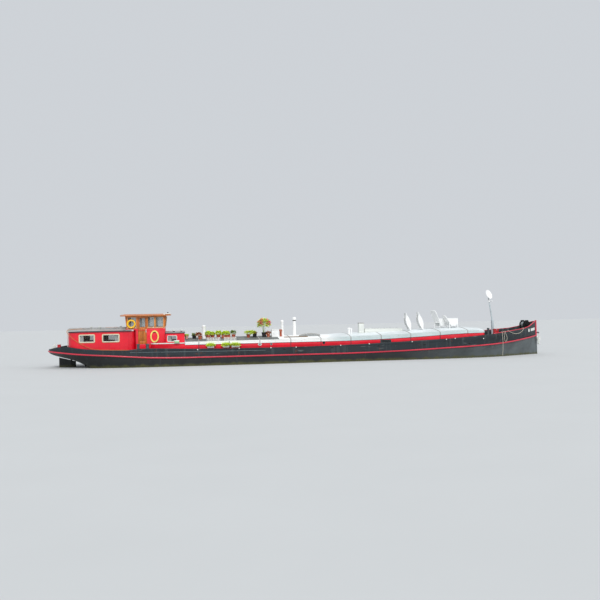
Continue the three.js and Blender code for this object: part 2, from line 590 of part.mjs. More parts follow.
function aftCabinRing() {
  const { wall, top } = AFT_CABIN;
  const outer = prismZ(aftCabinOutline(0), 0, top);
  return onDeck(outer.subtract(prismZ(aftCabinOutline(-wall), -FAR, FAR)));
}

function aftCabin() {
  const ring = aftCabinRing();
  const { aft, fore, half, corner, top } = AFT_CABIN;
  const sideFrom = aft + corner;
  const sideTo = fore - corner;
  const windows = AFT_WINDOWS.map(({ from, to }) => prismY(
    roundedOutline(from, to, AFT_WINDOW.low, AFT_WINDOW.high, AFT_WINDOW.corner), -FAR, 0));
  const side = ring.intersect(block(sideFrom, sideTo, -FAR, 0, 0, FAR));
  addPair("aft_cabin_side", windows.reduce((wall, hole) => wall.subtract(hole), side), RED);
  add("aft_cabin_stern_wall", ring.intersect(block(-FAR, sideFrom - GAP, -FAR, FAR, 0, FAR)), RED);
  const door = block(fore - corner, FAR, -300, 300, 0, top - 60);
  add("aft_cabin_front_wall", ring.intersect(block(sideTo + GAP, FAR, -FAR, FAR, 0, FAR)).subtract(door), RED);
  const inner = -half + AFT_CABIN.wall + GAP;
  const pane = block(AFT_WINDOWS[0].from - 60, AFT_WINDOWS[1].to + 60, inner, inner + PANE,
    AFT_WINDOW.low - 50, AFT_WINDOW.high + 50);
  addPair("aft_cabin_glass", pane, GLASS);
}

// A slab with a flat underside and an arched top, across the boat
function archOutline(half, low, edge, camber, steps) {
  const points = [[half, low]];
  for (let i = 0; i <= steps; i++) {
    const y = half - (2 * half * i) / steps;
    points.push([y, low + edge + camber * (1 - (y / half) ** 2)]);
  }
  points.push([-half, low]);
  return points;
}

function aftCabinRoof() {
  const { over, edge, camber } = AFT_ROOF;
  const { aft, fore, half, top } = AFT_CABIN;
  const slab = prismX(archOutline(half + over, top + GAP, edge, camber, 10), aft - over, fore + over);
  const trimmed = slab.intersect(prismZ(aftCabinOutline(over), 0, FAR));
  const { shelfAft, half: baseHalf } = BASE;
  return trimmed.subtract(block(shelfAft - 10, FAR, -baseHalf - 10, baseHalf + 10, 0, FAR));
}

// Wheelhouse

function wheelhouseBase() {
  const { aft, fore, half, wall, top, shelf, shelfAft } = BASE;
  const outer = block(aft, fore, -half, half, 0, top);
  const inner = block(aft + wall, fore - wall, -half + wall, half - wall, -FAR, FAR);
  const doorways = block(DOOR.from, DOOR.to, -FAR, FAR, DOOR.sill, FAR);
  const passage = block(aft - 10, aft + wall + 10, -300, 300, 1000, top - 100);
  const rail = block(DOOR.from - 40, RAIL.to, -half + wall - 10, -half + wall + RAIL.wide,
    DOOR.sill - RAIL.high, DOOR.sill);
  const { from, to, high } = COMPANIONWAY;
  const steps = block(fore - wall - 10, fore + 10, from, to, FLOOR.top, high);
  const ring = outer.subtract(inner).subtract(doorways).subtract(passage).subtract(steps);
  const ledge = block(shelfAft, aft + 10, -half, half, top - shelf, top);
  return onDeck(ring.add(rail).add(mirrored(rail))).add(ledge);
}

function rakedOutline(from, to) {
  const { rake, top } = WOOD;
  const low = BASE.top + GAP;
  return [[from, low], [to, low], [to + rake, top], [from - rake, top]];
}

function wheelhouseSide() {
  const { aft, fore, thick } = WOOD;
  const holes = SIDE_PANES.map(({ from, to }) => prismY(
    roundedOutline(from, to, PANE_ROW.low, PANE_ROW.high, PANE_ROW.corner), -FAR, 0));
  holes.push(block(DOOR.from, DOOR.to, -FAR, 0, 0, DOOR.head));
  const panel = prismY(rakedOutline(aft, fore), -BASE.half, -BASE.half + thick);
  return holes.reduce((wall, hole) => wall.subtract(hole), panel);
}

// A raked end wall between the two sides, with a row of panes. way: 1 at the front, -1 aft
function wheelhouseEnd(outer, way, panes) {
  const { thick, rake, top } = WOOD;
  const low = BASE.top + GAP;
  const inner = outer - way * thick;
  const outline = [[outer, low], [outer + way * rake, top], [inner + way * rake, top], [inner, low]];
  const half = BASE.half - thick - GAP;
  const pitch = (2 * half) / panes;
  let wall = prismY(outline, -half, half);
  for (let i = 0; i < panes; i++) {
    const left = -half + i * pitch;
    const hole = roundedOutline(left + 50, left + pitch - 50, PANE_ROW.low, PANE_ROW.high, PANE_ROW.corner);
    wall = wall.subtract(prismX(hole, outer - 400, outer + 400));
  }
  return wall;
}

// The glass of an end wall lies on its inner face
function endGlass(outer, way) {
  const { thick, rake, top } = WOOD;
  const low = BASE.top + GAP;
  const slope = rake / (top - low);
  const at = (z, depth) => outer - way * (thick + depth) + way * slope * (z - low);
  const bottom = PANE_ROW.low - 30;
  const head = PANE_ROW.high + 30;
  const outline = [
    [at(bottom, 1), bottom], [at(head, 1), head], [at(head, 1 + PANE), head], [at(bottom, 1 + PANE), bottom],
  ];
  const half = BASE.half - thick - 20;
  return prismY(outline, -half, half);
}

function sideGlass() {
  const inner = -BASE.half + WOOD.thick + GAP;
  return block(SIDE_PANES[1].from - 15, SIDE_PANES[2].to + 20, inner, inner + PANE - 2,
    PANE_ROW.low - 30, PANE_ROW.high + 30);
}

function door() {
  const { from, to, sill, head, lap, thick, running } = DOOR;
  const outer = -BASE.half + BASE.wall + running;
  const leaf = block(from - lap, to + lap, outer, outer + thick, sill + 2 * GAP, head + lap);
  const pane = roundedOutline(DOOR_PANE.from, DOOR_PANE.to, DOOR_PANE.low, DOOR_PANE.high, PANE_ROW.corner);
  return leaf.subtract(prismY(pane, -FAR, 0));
}

function wheelhouseRoof() {
  const { aft, fore, half, edge, camber } = WHEEL_ROOF;
  const slab = prismX(archOutline(half, WOOD.top + GAP, edge, camber, 8), aft, fore);
  const corners = prismZ(roundedOutline(aft, fore, -half, half, 180, 3), 0, FAR);
  const { x, y, long, mouth, throat } = HORN;
  const z = WOOD.top + edge + mouth;
  const horn = bar([x - long, y, z], [x + 60, y, z], throat, mouth, 10);
  const foot = block(x - long + 10, x - long + 80, y - 25, y + 25, WOOD.top + edge / 2, z);
  return slab.intersect(corners).add(horn).add(foot);
}

function wheelhouseFloor() {
  const { low, top, half } = FLOOR;
  const clear = BASE.wall + 10;
  return onDeck(block(BASE.aft + clear, BASE.fore - clear, -half, half, low, top));
}

function helmConsole() {
  const { back, face, front, half, knee, top } = CONSOLE;
  const low = FLOOR.top + GAP;
  const outline = [[back, low], [front, low], [front, top], [face, top], [back, knee]];
  const bore = bar([back - 50, 0, HELM.z], [back + 60, 0, HELM.z], HELM.bore, HELM.bore, 16);
  return prismY(outline, -half, half).subtract(bore);
}

function steeringWheel() {
  const { x, z, rim, tube, hub, spokes, shaft } = HELM;
  const ring = new THREE.TorusGeometry(rim, tube, 6, 18).rotateY(Math.PI / 2).translate(x, 0, z);
  const pieces = [solidFrom(ring), bar([x - 40, 0, z], [x + 40, 0, z], hub, hub, 16)];
  pieces.push(bar([x, 0, z], [CONSOLE.back + 40, 0, z], shaft, shaft, 16));
  for (let i = 0; i < spokes; i++) {
    const angle = (2 * Math.PI * i) / spokes;
    const reach = rim + 90;
    const tip = [x, reach * Math.cos(angle), z + reach * Math.sin(angle)];
    pieces.push(bar([x, 0, z], tip, 15, 12, 5));
  }
  return joined(pieces);
}

// Trunk cabin

function trunkWalls() {
  const { aft, fore, half, wall, top } = TRUNK;
  const outer = block(aft, fore, -half, half, 0, top);
  const inner = block(aft + wall, fore - wall, -half + wall, half - wall, -FAR, FAR);
  const { from, to, low, high, corner } = TRUNK_WINDOW;
  const windows = prismY(roundedOutline(from, to, low, high, corner), -FAR, FAR);
  const ends = block(-FAR, FAR, -half + 300, half - 300, 0, top - 60);
  return onDeck(outer.subtract(inner).subtract(windows).subtract(ends));
}

function trunkRoof() {
  const { aft, fore, half, top, edge, camber } = TRUNK;
  const vents = [-7770, -7340].map((x) => bar([x, -1250, top], [x, -1250, top + 200], 45, 60, 8));
  const slab = prismX(archOutline(half + 30, top + GAP, edge, camber, 8), aft, fore + 30);
  return joined([slab, ...vents]).subtract(block(-FAR, FAR, -FAR, FAR, 0, top + GAP));
}

// Hold

function coamingPath() {
  const { aft, fore, half, corner, aftCorner } = COAMING;
  const front = arc(fore - corner, -half + corner, corner, -90, 0, 4);
  const back = arc(aft + aftCorner, -half + aftCorner, aftCorner, 180, 270, 3);
  const along = [-8000, -7160, -7150, 2200, 4000, 5540, 7200, 8640, 9600];
  const end = [fore, -COAMING.frontHalf];
  return [[aft, -BASE.half - 20], ...back, ...along.map((x) => [x, -half]), ...front, end];
}

function coamingSide() {
  const { wall } = COAMING;
  const path = coamingPath();
  const shell = sweep(path, (i) => {
    const top = heightAt(COAMING_TOP, path[i][0]);
    return [[-wall, 0], [-wall, top], [0, top], [0, 0]];
  });
  const { wide, thick } = LEDGE;
  const topZ = COAMING_TOP[0].z + thick;
  const ledgePath = path.filter(([x]) => x <= -7160);
  const ledge = sweep(ledgePath, () => [
    [-wide, COAMING_TOP[0].z - 5], [-wide, topZ], [15, topZ], [15, COAMING_TOP[0].z - 5],
  ]);
  const wheelhouse = block(BASE.aft - 10, BASE.fore + 10, -BASE.half - 10, FAR, 0, FAR);
  return onDeck(shell).add(ledge.subtract(wheelhouse));
}

function coamingFront() {
  const { fore, frontHalf, wall } = COAMING;
  const y = frontHalf - GAP;
  return onDeck(block(fore - wall, fore, -y, y, 0, heightAt(COAMING_TOP, fore)));
}

// The roof's section at x: an arched shell with short legs on the coaming
function roofRing(x, halfWidth) {
  const { camber, thick, leg, steps } = HOLD_ROOF;
  const low = heightAt(COAMING_TOP, x) + GAP;
  const edge = heightAt(ROOF_EDGE, x);
  const crown = (y, half) => camber * (1 - (y / half) ** 2);
  const ring = [[x, halfWidth, low]];
  for (let i = 0; i <= steps; i++) {
    const y = halfWidth - (2 * halfWidth * i) / steps;
    ring.push([x, y, edge + crown(y, halfWidth)]);
  }
  ring.push([x, -halfWidth, low], [x, -halfWidth + leg, low]);
  const inner = halfWidth - leg;
  for (let i = 0; i <= steps; i++) {
    const y = -inner + (2 * inner * i) / steps;
    ring.push([x, y, edge - thick + crown(y, halfWidth)]);
  }
  ring.push([x, inner, low]);
  return ring;
}

function roofHalfAt(x) {
  const { half } = HOLD_ROOF;
  const roundFrom = COAMING.fore - COAMING.corner;
  if (x <= roundFrom) return half;
  const into = Math.min(1, (x - roundFrom) / COAMING.corner);
  return half - COAMING.corner * (1 - Math.sqrt(1 - into ** 2));
}

// The faceted roof's height, where it isn't rounded off
const roofTopAt = (x, y) => {
  const { camber, half, steps } = HOLD_ROOF;
  const facet = (2 * half) / steps;
  const inner = Math.floor(Math.abs(y) / facet) * facet;
  const crownAt = (out) => camber * (1 - (out / half) ** 2);
  const crown = THREE.MathUtils.lerp(crownAt(inner), crownAt(inner + facet), (Math.abs(y) - inner) / facet);
  return heightAt(ROOF_EDGE, x) + crown;
};

function roofPanel(from, to) {
  const bends = [1300, 2200, 4000, 5540, 5900, 7200, 8200, 8640, 9300, 9600, 10100, 10450, 10600, 10750, 10840];
  const stops = [from, ...bends.filter((x) => x > from + 1 && x < to - 1), to];
  const shell = loft(stops.map((x) => roofRing(x, roofHalfAt(x))), acrossX);
  return to < COAMING.fore - 100 ? shell : shell.add(roofEnd(to));
}

function roofEnd(x) {
  const steps = HOLD_ROOF.steps;
  const outline = roofRing(x, roofHalfAt(x)).slice(0, steps + 3).map(([, y, z]) => [y, z]);
  return prismX(outline, x - HOLD_ROOF.endPlate, x);
}

function roundFitting({ x, y, r0, r1, tall, what }) {
  const foot = roofTopAt(x, y) - 60;
  const top = roofTopAt(x, y) + tall;
  if (what !== "vent") return bar([x, y, foot], [x, y, top], r0, r1, ROUND_SIDES);
  const neck = foot + 60 + (r0 > r1 ? 0.45 : 0.85) * tall;
  const cap = bar([x, y, neck], [x, y, top], r1, r1 * 0.9, ROUND_SIDES);
  return bar([x, y, foot], [x, y, neck + 1], r0, r1 * 0.85, ROUND_SIDES).add(cap);
}

function boxFitting({ from, to, low, high, tall }) {
  const middle = (from + to) / 2;
  const outer = Math.min(Math.abs(low), Math.abs(high));
  const foot = roofTopAt(middle, Math.max(Math.abs(low), Math.abs(high))) - 60;
  return block(from, to, low, high, foot, roofTopAt(middle, outer) + tall);
}

// Rounded foliage that reaches down into its pot
function crown({ x, y, wide, high }) {
  const z = roofTopAt(x, y) + 170 + high;
  const ball = new THREE.SphereGeometry(1, 8, 5).rotateX(Math.PI / 2).scale(wide, wide * 0.8, high);
  return solidFrom(ball.translate(x, y, z));
}

function holdRoof() {
  for (let i = 0; i + 1 < ROOF_JOINTS.length; i++) {
    const from = ROOF_JOINTS[i] + (i ? GAP : 0);
    const to = ROOF_JOINTS[i + 1];
    const within = ({ x }) => x > from && x < to;
    const pieces = [
      roofPanel(from, to),
      ...ROOF_ROUNDS.filter(within).map(roundFitting),
      ...ROOF_BOXES.filter((row) => row.from > from && row.to < to).map(boxFitting),
      ...CROWNS.filter(within).map(crown),
    ];
    add(`hold_roof_${i + 1}`, joined(pieces), WHITE);
  }
}

// Bow fittings

function tabernacle() {
  const { x, half, cheek, fore, aft, block: blockTop, pin, top } = TABERNACLE;
  const cheeks = [-1, 1].map((side) => {
    const inner = side * half;
    const outer = side * (half + cheek);
    return block(x - aft, x + fore, Math.min(inner, outer), Math.max(inner, outer), 1000, top);
  });
  const foot = block(x - aft, x + fore, -half - 1, half + 1, 1000, blockTop);
  const bore = bar([x, -half - cheek - 20, pin], [x, half + cheek + 20, pin], MAST.bore, MAST.bore, 16);
  return onDeck(joined([...cheeks, foot])).subtract(bore);
}

// A place on the leaning mast: up along it from the pin, and forward of it
function onMast(up, forward = 0, y = 0) {
  const lean = THREE.MathUtils.degToRad(MAST.lean);
  const x = TABERNACLE.x - up * Math.sin(lean) + forward * Math.cos(lean);
  return [x, y, TABERNACLE.pin + up * Math.cos(lean) + forward * Math.sin(lean)];
}

function mast() {
  const { radius, tip, heel, pin } = MAST;
  const reach = TABERNACLE.half + TABERNACLE.cheek - 5;
  const z = TABERNACLE.pin;
  const { up: lampUp, radius: lampRadius, tall } = LAMP;
  return joined([
    bar(onMast(-heel), onMast(tip), radius, radius * 0.7, 12),
    bar([TABERNACLE.x, -reach, z], [TABERNACLE.x, reach, z], pin, pin, 16),
    bar(onMast(tip - 20), onMast(DISH.up), DISH.bracket, DISH.bracket * 0.8, 8),
    bar(onMast(lampUp), onMast(lampUp + tall), lampRadius, lampRadius * 1.1, 10),
    bar(onMast(tip + 30), onMast(tip + 60, 200), 10, 10, 6),
    bar(onMast(tip + 40, 190), onMast(tip + 110, 190), 28, 28, 8),
    dish(),
  ]);
}

function dish() {
  const { up, radius, deep, thick, turn, tilt } = DISH;
  const points = [];
  for (let i = 0; i <= 3; i++) points.push(new THREE.Vector2((radius * i) / 3, deep * (i / 3) ** 2));
  for (let i = 3; i >= 0; i--) points.push(new THREE.Vector2((radius * i) / 3, deep * (i / 3) ** 2 - thick));
  const bowl = new THREE.LatheGeometry(points.toReversed(), 14).rotateX(Math.PI - THREE.MathUtils.degToRad(tilt));
  bowl.rotateZ(THREE.MathUtils.degToRad(turn));
  const [x, y, z] = onMast(up);
  return solidFrom(bowl.translate(x, y - 20, z));
}

function windlassFrame() {
  const { from, to, half, cheek, top, axis, base } = WINDLASS;
  const middle = (from + to) / 2;
  const side = [[from, 1000], [to, 1000], [to, 1450], [middle + 110, top], [middle - 110, top], [from, 1450]];
  const cheeks = prismY(side, -half, -half + cheek);
  const floor = block(from, to, -half, half, 1000, deckAt(to) + base);
  const tie = bar([from + 60, -half + 5, 1480], [from + 60, half - 5, 1480], 30, 30, 8);
  const bore = bar([middle, -FAR, axis], [middle, FAR, axis], DRUM.bore, DRUM.bore, 24);
  return onDeck(joined([cheeks, mirrored(cheeks), floor, tie])).subtract(bore);
}

function windlassDrum() {
  const { radius, flange, flangeThick, half, shaft, end, endRadius } = DRUM;
  const x = (WINDLASS.from + WINDLASS.to) / 2;
  const z = WINDLASS.axis;
  const outer = WINDLASS.half + 8;
  const pieces = [
    bar([x, -end, z], [x, end, z], shaft, shaft, 24),
    bar([x, -half, z], [x, half, z], radius, radius, 16),
  ];
  for (const side of [-1, 1]) {
    pieces.push(bar([x, side * half, z], [x, side * (half - flangeThick), z], flange, flange, 16));
    pieces.push(bar([x, side * outer, z], [x, side * end, z], endRadius * 0.8, endRadius, 16));
  }
  return joined(pieces);
}

function anchor() {
  const { x, shank, top, crown: crownZ, fluke, flukeTop, turn } = ANCHOR;
  const stem = block(-shank, shank, -shank, shank, crownZ - 20, top);
  const head = block(-60, 60, -60, 60, crownZ - 50, crownZ + 60);
  const stop = block(-55, 55, -55, 55, HAWSE.high + GAP, top);
  const arm = prismY([[20, crownZ - 40], [90, crownZ - 30], [fluke, flukeTop - 60], [fluke - 30, flukeTop],
    [fluke - 110, flukeTop - 90], [20, crownZ + 60]], -45, 45);
  const other = prismY([[-20, crownZ - 40], [-90, crownZ - 30], [-fluke, flukeTop - 60], [-fluke + 30, flukeTop],
    [-fluke + 110, flukeTop - 90], [-20, crownZ + 60]], -45, 45);
  const whole = geometryFrom(joined([stem, head, stop, arm, other]));
  return solidFrom(whole.rotateZ(THREE.MathUtils.degToRad(turn)).translate(x, 0, 0));
}

function bollardPair({ x, y, spacing, radius, cap, base, tall, plate, wide }) {
  const deck = Math.max(deckAt(x - plate), deckAt(x + plate));
  const pieces = [block(x - plate, x + plate, -y - wide, -y + wide, 500, deck + base)];
  for (const side of [-1, 1]) {
    const at = x + side * spacing;
    pieces.push(bar([at, -y, deck], [at, -y, deck + tall - 30], radius, radius, 16));
    pieces.push(bar([at, -y, deck + tall - 60], [at, -y, deck + tall], cap, cap, 16));
  }
  return onDeck(joined(pieces));
}

// Deck seating

function foldedChair(x) {
  const { y, wide, tall, lean, tube, bulge, foot, bend } = FOLDED;
  const rise = Math.cos(THREE.MathUtils.degToRad(lean)) * tall;
  const slip = Math.sin(THREE.MathUtils.degToRad(lean)) * tall;
  const low = roofTopAt(x + foot, y + wide / 2 + tube) + GAP + tube;
  const along = (side, part, out) => [x - slip * part + out, side, low + rise * part];
  const pieces = [];
  for (const side of [y - wide / 2, y + wide / 2]) {
    pieces.push(bar(along(side, 0, 0), along(side, 1, 0), tube, tube, 5));
    for (const out of [-bulge, bulge]) {
      pieces.push(bar(along(side, 0, 0), along(side, bend, out), tube, tube, 5));
      pieces.push(bar(along(side, bend, out), along(side, 2 * bend, 0), tube, tube, 5));
    }
    pieces.push(block(x - foot, x + foot, side - tube, side + tube, low - tube, low + 60));
  }
  const slat = ([atX, , atZ]) => block(atX - 12, atX + 30, y - wide / 2, y + wide / 2, atZ - 25, atZ + 25);
  for (const part of [0.12, 0.35, 0.5, 0.72, 0.84, 0.96]) pieces.push(slat(along(y, part, 0)));
  for (const part of [0.3, bend, 0.6]) pieces.push(slat(along(y, part, -bulge * (1 - Math.abs(part / bend - 1)))));
  return joined(pieces);
}

// Just over the roof's highest point along a stretch
function groundUnder(from, to, y) {
  const bends = ROOF_EDGE.map((row) => row.x).filter((x) => x > from && x < to);
  return Math.max(...[from, to, ...bends].map((x) => roofTopAt(x, y))) + GAP;
}

function armchair({ x, y, back, lean, turn }) {
  const { wide, long, seat, plate, leg, arm, side: panel, skirt } = LOUNGER;
  const left = -wide / 2;
  const right = wide / 2;
  const slip = Math.tan(THREE.MathUtils.degToRad(lean)) * back;
  const rear = -long / 2;
  const front = long / 2;
  const angle = THREE.MathUtils.degToRad(turn);
  const onRoof = (u, v) => [
    x + u * Math.cos(angle) - v * Math.sin(angle), y + u * Math.sin(angle) + v * Math.cos(angle),
  ];
  const groundAt = (u0, u1, v0, v1) => Math.max(...[[u0, v0], [u1, v0], [u0, v1], [u1, v1]]
    .map(([u, v]) => onRoof(u, v)).map(([px, py]) => groundUnder(px, px, py)));
  const ground = groundAt(rear, front, left, right);
  const backrest = [[rear, ground + seat], [rear + 60, ground + seat], [rear + 60 - slip, ground + seat + back],
    [rear - slip, ground + seat + back]];
  const pieces = [
    block(rear, front, left, right, ground + seat - plate, ground + seat),
    prismY(backrest, left, right),
  ];
  for (const side of [left, right - leg]) {
    for (const at of [rear, front - leg]) {
      pieces.push(block(at, at + leg, side, side + leg, groundAt(at, at + leg, side, side + leg), ground + arm));
    }
    pieces.push(block(rear - 60, front, side, side + leg, ground + arm - leg, ground + arm));
    const inset = (leg - panel) / 2;
    const outline = [[rear + 10, ground + arm - 10], [rear + 10, ground + seat - skirt], [rear + 130, ground + 90],
      [front - 130, ground + 90], [front - 10, ground + seat - skirt], [front - 10, ground + arm - 10]];
    pieces.push(prismY(outline, side + inset, side + leg - inset));
  }
  return solidFrom(geometryFrom(joined(pieces)).rotateZ(angle).translate(x, y, 0));
}

// Ropes, hose and lifebuoy

function lifebuoy() {
  const { x, z, ring, tube } = LIFEBUOY;
  const geometry = new THREE.TorusGeometry(ring, tube, 8, 20).rotateX(Math.PI / 2);
  return solidFrom(geometry.translate(x, -BASE.half - tube - GAP, z));
}

function hoseCoil() {
  const { x, z, wide, tall, ring, thick } = HOSE_COIL;
  const outer = oval(x, z, wide, tall, 24);
  const inner = oval(x, z, wide - ring, tall - ring, 24);
  const y = -BASE.half - GAP;
  return prismY(outer, y - thick, y).subtract(prismY(inner, y - thick - 10, y + 10));
}

function oval(u, v, wide, tall, steps) {
  return arc(0, 0, 1, 0, 360 - 360 / steps, steps - 1).map(([a, b]) => [u + a * wide, v + b * tall]);
}

function tube(route, { radius, sides }, steps) {
  const curve = new THREE.CatmullRomCurve3(route.map((point) => new THREE.Vector3(...point)), false, "centripetal");
  const section = new THREE.Shape(arc(0, 0, radius, 0, 360 - 360 / sides, sides - 1)
    .map(([u, v]) => new THREE.Vector2(u, v)));
  return solidFrom(new THREE.ExtrudeGeometry(section, { steps, extrudePath: curve }));
}

// The boat

add("hull", hull(), BLACK);
addPair("rub_strake", rubStrake(), RED);
addPair("bulwark", gunwale(), BLACK);
addPair("cap_rail", capRail(), RED);
add("stem_bar", stemBar(), RED);
add("rudder", rudder(), BLACK);
add("propeller", propeller(), BRONZE);
add("engine", engine(), GREY);
aftCabin();
add("aft_cabin_roof", aftCabinRoof(), GREY);
add("wheelhouse_base", wheelhouseBase(), RED);
addPair("wheelhouse_side", wheelhouseSide(), VARNISH);
add("wheelhouse_front", wheelhouseEnd(WOOD.fore, 1, FRONT_PANES), VARNISH);
add("wheelhouse_back", wheelhouseEnd(WOOD.aft, -1, AFT_PANES), VARNISH);
add("wheelhouse_roof", wheelhouseRoof(), VARNISH);
add("wheelhouse_front_glass", endGlass(WOOD.fore, 1), GLASS);
add("wheelhouse_back_glass", endGlass(WOOD.aft, -1), GLASS);
addPair("wheelhouse_glass", sideGlass(), GLASS);
addPair("wheelhouse_door", door(), VARNISH);
add("wheelhouse_floor", wheelhouseFloor(), VARNISH);
add("helm_console", helmConsole(), VARNISH);
add("steering_wheel", steeringWheel(), VARNISH);
add("trunk_cabin_walls", trunkWalls(), RED);
add("trunk_cabin_roof", trunkRoof(), WHITE);
addPair("coaming", coamingSide(), RED);
add("coaming_front", coamingFront(), RED);
holdRoof();
add("mast_tabernacle", tabernacle(), GREY);
add("mast", mast(), WHITE);
add("windlass_frame", windlassFrame(), IRON);
add("windlass_drum", windlassDrum(), IRON);
add("anchor", anchor(), WHITE);
addPair("midship_bollards", bollardPair(MID_BOLLARDS), IRON);
addPair("bow_bollards", bollardPair(BOW_BOLLARDS), IRON);
FOLDED_CHAIRS.forEach(({ name, x }) => add(name, foldedChair(x), PLASTIC));
LOUNGERS.forEach((row) => add(row.name, armchair(row), PLASTIC));
add("lifebuoy", lifebuoy(), YELLOW);
add("hose_coil", hoseCoil(), YELLOW);
add("aft_rope", tube(AFT_ROPE_ROUTE, AFT_ROPE, 90), ROPE);
add("bow_rope", tube(BOW_ROPE_ROUTE, BOW_ROPE, 260), PALE_ROPE);

export default boat;
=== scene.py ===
"""The looks of a river motor barge afloat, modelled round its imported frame.

Laid out as an add-on: sizes and colours are properties, each group of pieces is one operator,
and the panel in the 3D view's sidebar lists them in the order in which they are made.
"""

import math
import random
import bpy
from mathutils import Matrix, Vector
from mathutils.bvhtree import BVHTree


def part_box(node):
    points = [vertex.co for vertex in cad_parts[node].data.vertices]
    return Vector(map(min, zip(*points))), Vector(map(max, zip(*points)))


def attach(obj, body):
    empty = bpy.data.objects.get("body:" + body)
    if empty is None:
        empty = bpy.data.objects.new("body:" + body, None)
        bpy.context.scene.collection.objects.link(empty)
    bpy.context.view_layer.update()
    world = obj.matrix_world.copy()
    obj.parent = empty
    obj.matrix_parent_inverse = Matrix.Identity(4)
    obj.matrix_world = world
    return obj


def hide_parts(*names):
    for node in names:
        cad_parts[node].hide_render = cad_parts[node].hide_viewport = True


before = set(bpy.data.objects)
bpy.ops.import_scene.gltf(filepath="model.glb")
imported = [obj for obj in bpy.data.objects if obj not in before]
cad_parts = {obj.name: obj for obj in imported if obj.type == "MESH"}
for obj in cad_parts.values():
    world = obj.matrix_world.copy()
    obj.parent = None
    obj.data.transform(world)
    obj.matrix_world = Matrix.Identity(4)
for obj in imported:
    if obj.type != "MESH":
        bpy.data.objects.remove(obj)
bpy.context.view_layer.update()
bl_info = {
    "name": "River Barge",
    "version": (1, 0, 0),
    "blender": (4, 5, 0),
    "location": "View3D > Sidebar > Barge",
    "description": "Models and finishes the pieces of a river motor barge",
    "category": "Object",
}
UP = Vector((0, 0, 1))
STARBOARD = Vector((0, -1, 0))
PORT = Vector((0, 1, 0))
AHEAD = Vector((1, 0, 0))
MERGE = 1e-05


def tint(code):
    """Linear red, green and blue of a six-digit sRGB code."""
    parts = [int(code[i:i + 2], 16) / 255 for i in (0, 2, 4)]
    return tuple((c / 12.92 if c <= 0.04045 else ((c + 0.055) / 1.055) ** 2.4 for c in parts))


def paint_property(name, description, code):
    """A colour that a user may change."""
    return bpy.props.FloatVectorProperty(name=name, description=description, default=tint(code), size=3,
        min=0, max=1, subtype="COLOR")


def size_property(name, description, metres):
    """A size that a user may change."""
    return bpy.props.FloatProperty(name=name, description=description, default=metres, min=0, unit="LENGTH",
        precision=4)


class BargeColours(bpy.types.PropertyGroup):
    """Paints and finishes of the barge."""
    topside: paint_property("Topside", "Teal black plating over the rub strake", "0f1b21")
    bottom: paint_property("Bottom", "Black plating under the rub strake", "0e1112")
    algae: paint_property("Algae", "Growth along the waterline", "4b4a1c")
    crimson: paint_property("Crimson", "Cabins and coaming", "e20f2a")
    strake: paint_property("Strake red", "Rub strake, rail and stem", "c4283f")
    deck: paint_property("Deck grey", "Side decks and wells", "6f7371")
    roof: paint_property("Roof white", "Aft part of the hold roof", "f6f7f5")
    roof_fore: paint_property("Roof blue-grey", "Fore part of the hold roof", "dfe5e6")
    felt: paint_property("Roof felt", "Mineral felt on the hold roof", "6d706e")
    trim: paint_property("Trim grey", "Aft cabin roof", "a3a09c")
    varnish: paint_property("Varnish", "Wheelhouse joinery", "c06a12")
    cream: paint_property("Cream", "Window surrounds", "c7ad84")
    yellow: paint_property("Yellow", "Lifebuoy and hose", "e8b912")
    leaf: paint_property("Leaf", "Pot plants", "d2e84e")
    rope: paint_property("Orange rope", "Aft mooring rope", "ffe2b8")


class BargeSizes(bpy.types.PropertyGroup):
    """Sizes that change the look and keep the fit."""
    arris: size_property("Arris", "Rounding of plated edges", 0.008)
    window_frame: size_property("Window frame", "Width of a cabin window's surround", 0.055)
    bead: size_property("Bead", "Width of the beads round the wheelhouse panes", 0.022)
    rope_pitch: size_property("Rope pitch", "Length of one turn of a rope's strands", 0.11)
    strap: size_property("Roof strap", "Width of the strips over the roof joints", 0.05)
    leaf_length: size_property("Leaf length", "Length of a pot plant's leaf", 0.075)


def colours():
    """The barge's colours in this scene."""
    return bpy.context.scene.barge_colours


def sizes():
    """The barge's sizes in this scene."""
    return bpy.context.scene.barge_sizes


def shade(colour, share):
    """A colour made darker or lighter."""
    return tuple((min(1, c * share) for c in colour))


def made(*steps):
    """Run an operator's steps in order."""
    for step in steps:
        step()
    return {"FINISHED"}


# Modelling helpers


def only(*objs):
    """Select these objects alone, in object mode, the first one active."""
    active = bpy.context.view_layer.objects.active
    if active and active.mode != "OBJECT":
        bpy.ops.object.mode_set(mode="OBJECT")
    bpy.ops.object.select_all(action="DESELECT")
    for obj in objs:
        obj.select_set(True)
    if objs:
        bpy.context.view_layer.objects.active = objs[0]


def in_edit(obj, *steps):
    """Run edit-mode steps on the object with all of its mesh selected."""
    only(obj)
    bpy.ops.object.mode_set(mode="EDIT")
    bpy.ops.mesh.select_all(action="SELECT")
    for step in steps:
        step()
    bpy.ops.object.mode_set(mode="OBJECT")
    return obj


def settled(obj, matrix=None):
    """Put the object's place into its mesh."""
    if matrix is not None:
        obj.matrix_world = matrix
    only(obj)
    bpy.ops.object.transform_apply(location=True, rotation=True, scale=True)
    return obj


def applied(obj, kind, **settings):
    """Add a modifier and apply it."""
    only(obj)
    modifier = obj.modifiers.new(kind.title(), kind)
    for key, value in settings.items():
        setattr(modifier, key, value)
    bpy.ops.object.modifier_apply(modifier=modifier.name)
    return obj


def rounded(obj, width, segments=2, angle=40):
    """Ease the object's sharp edges."""
    return applied(obj, "BEVEL", width=width, segments=segments, limit_method="ANGLE",
        angle_limit=math.radians(angle), use_clamp_overlap=True)


def outward():
    """Turn the selected faces outwards."""
    bpy.ops.mesh.normals_make_consistent(inside=False)


def weld():
    """Merge the selected points that lie together."""
    bpy.ops.mesh.remove_doubles(threshold=MERGE)


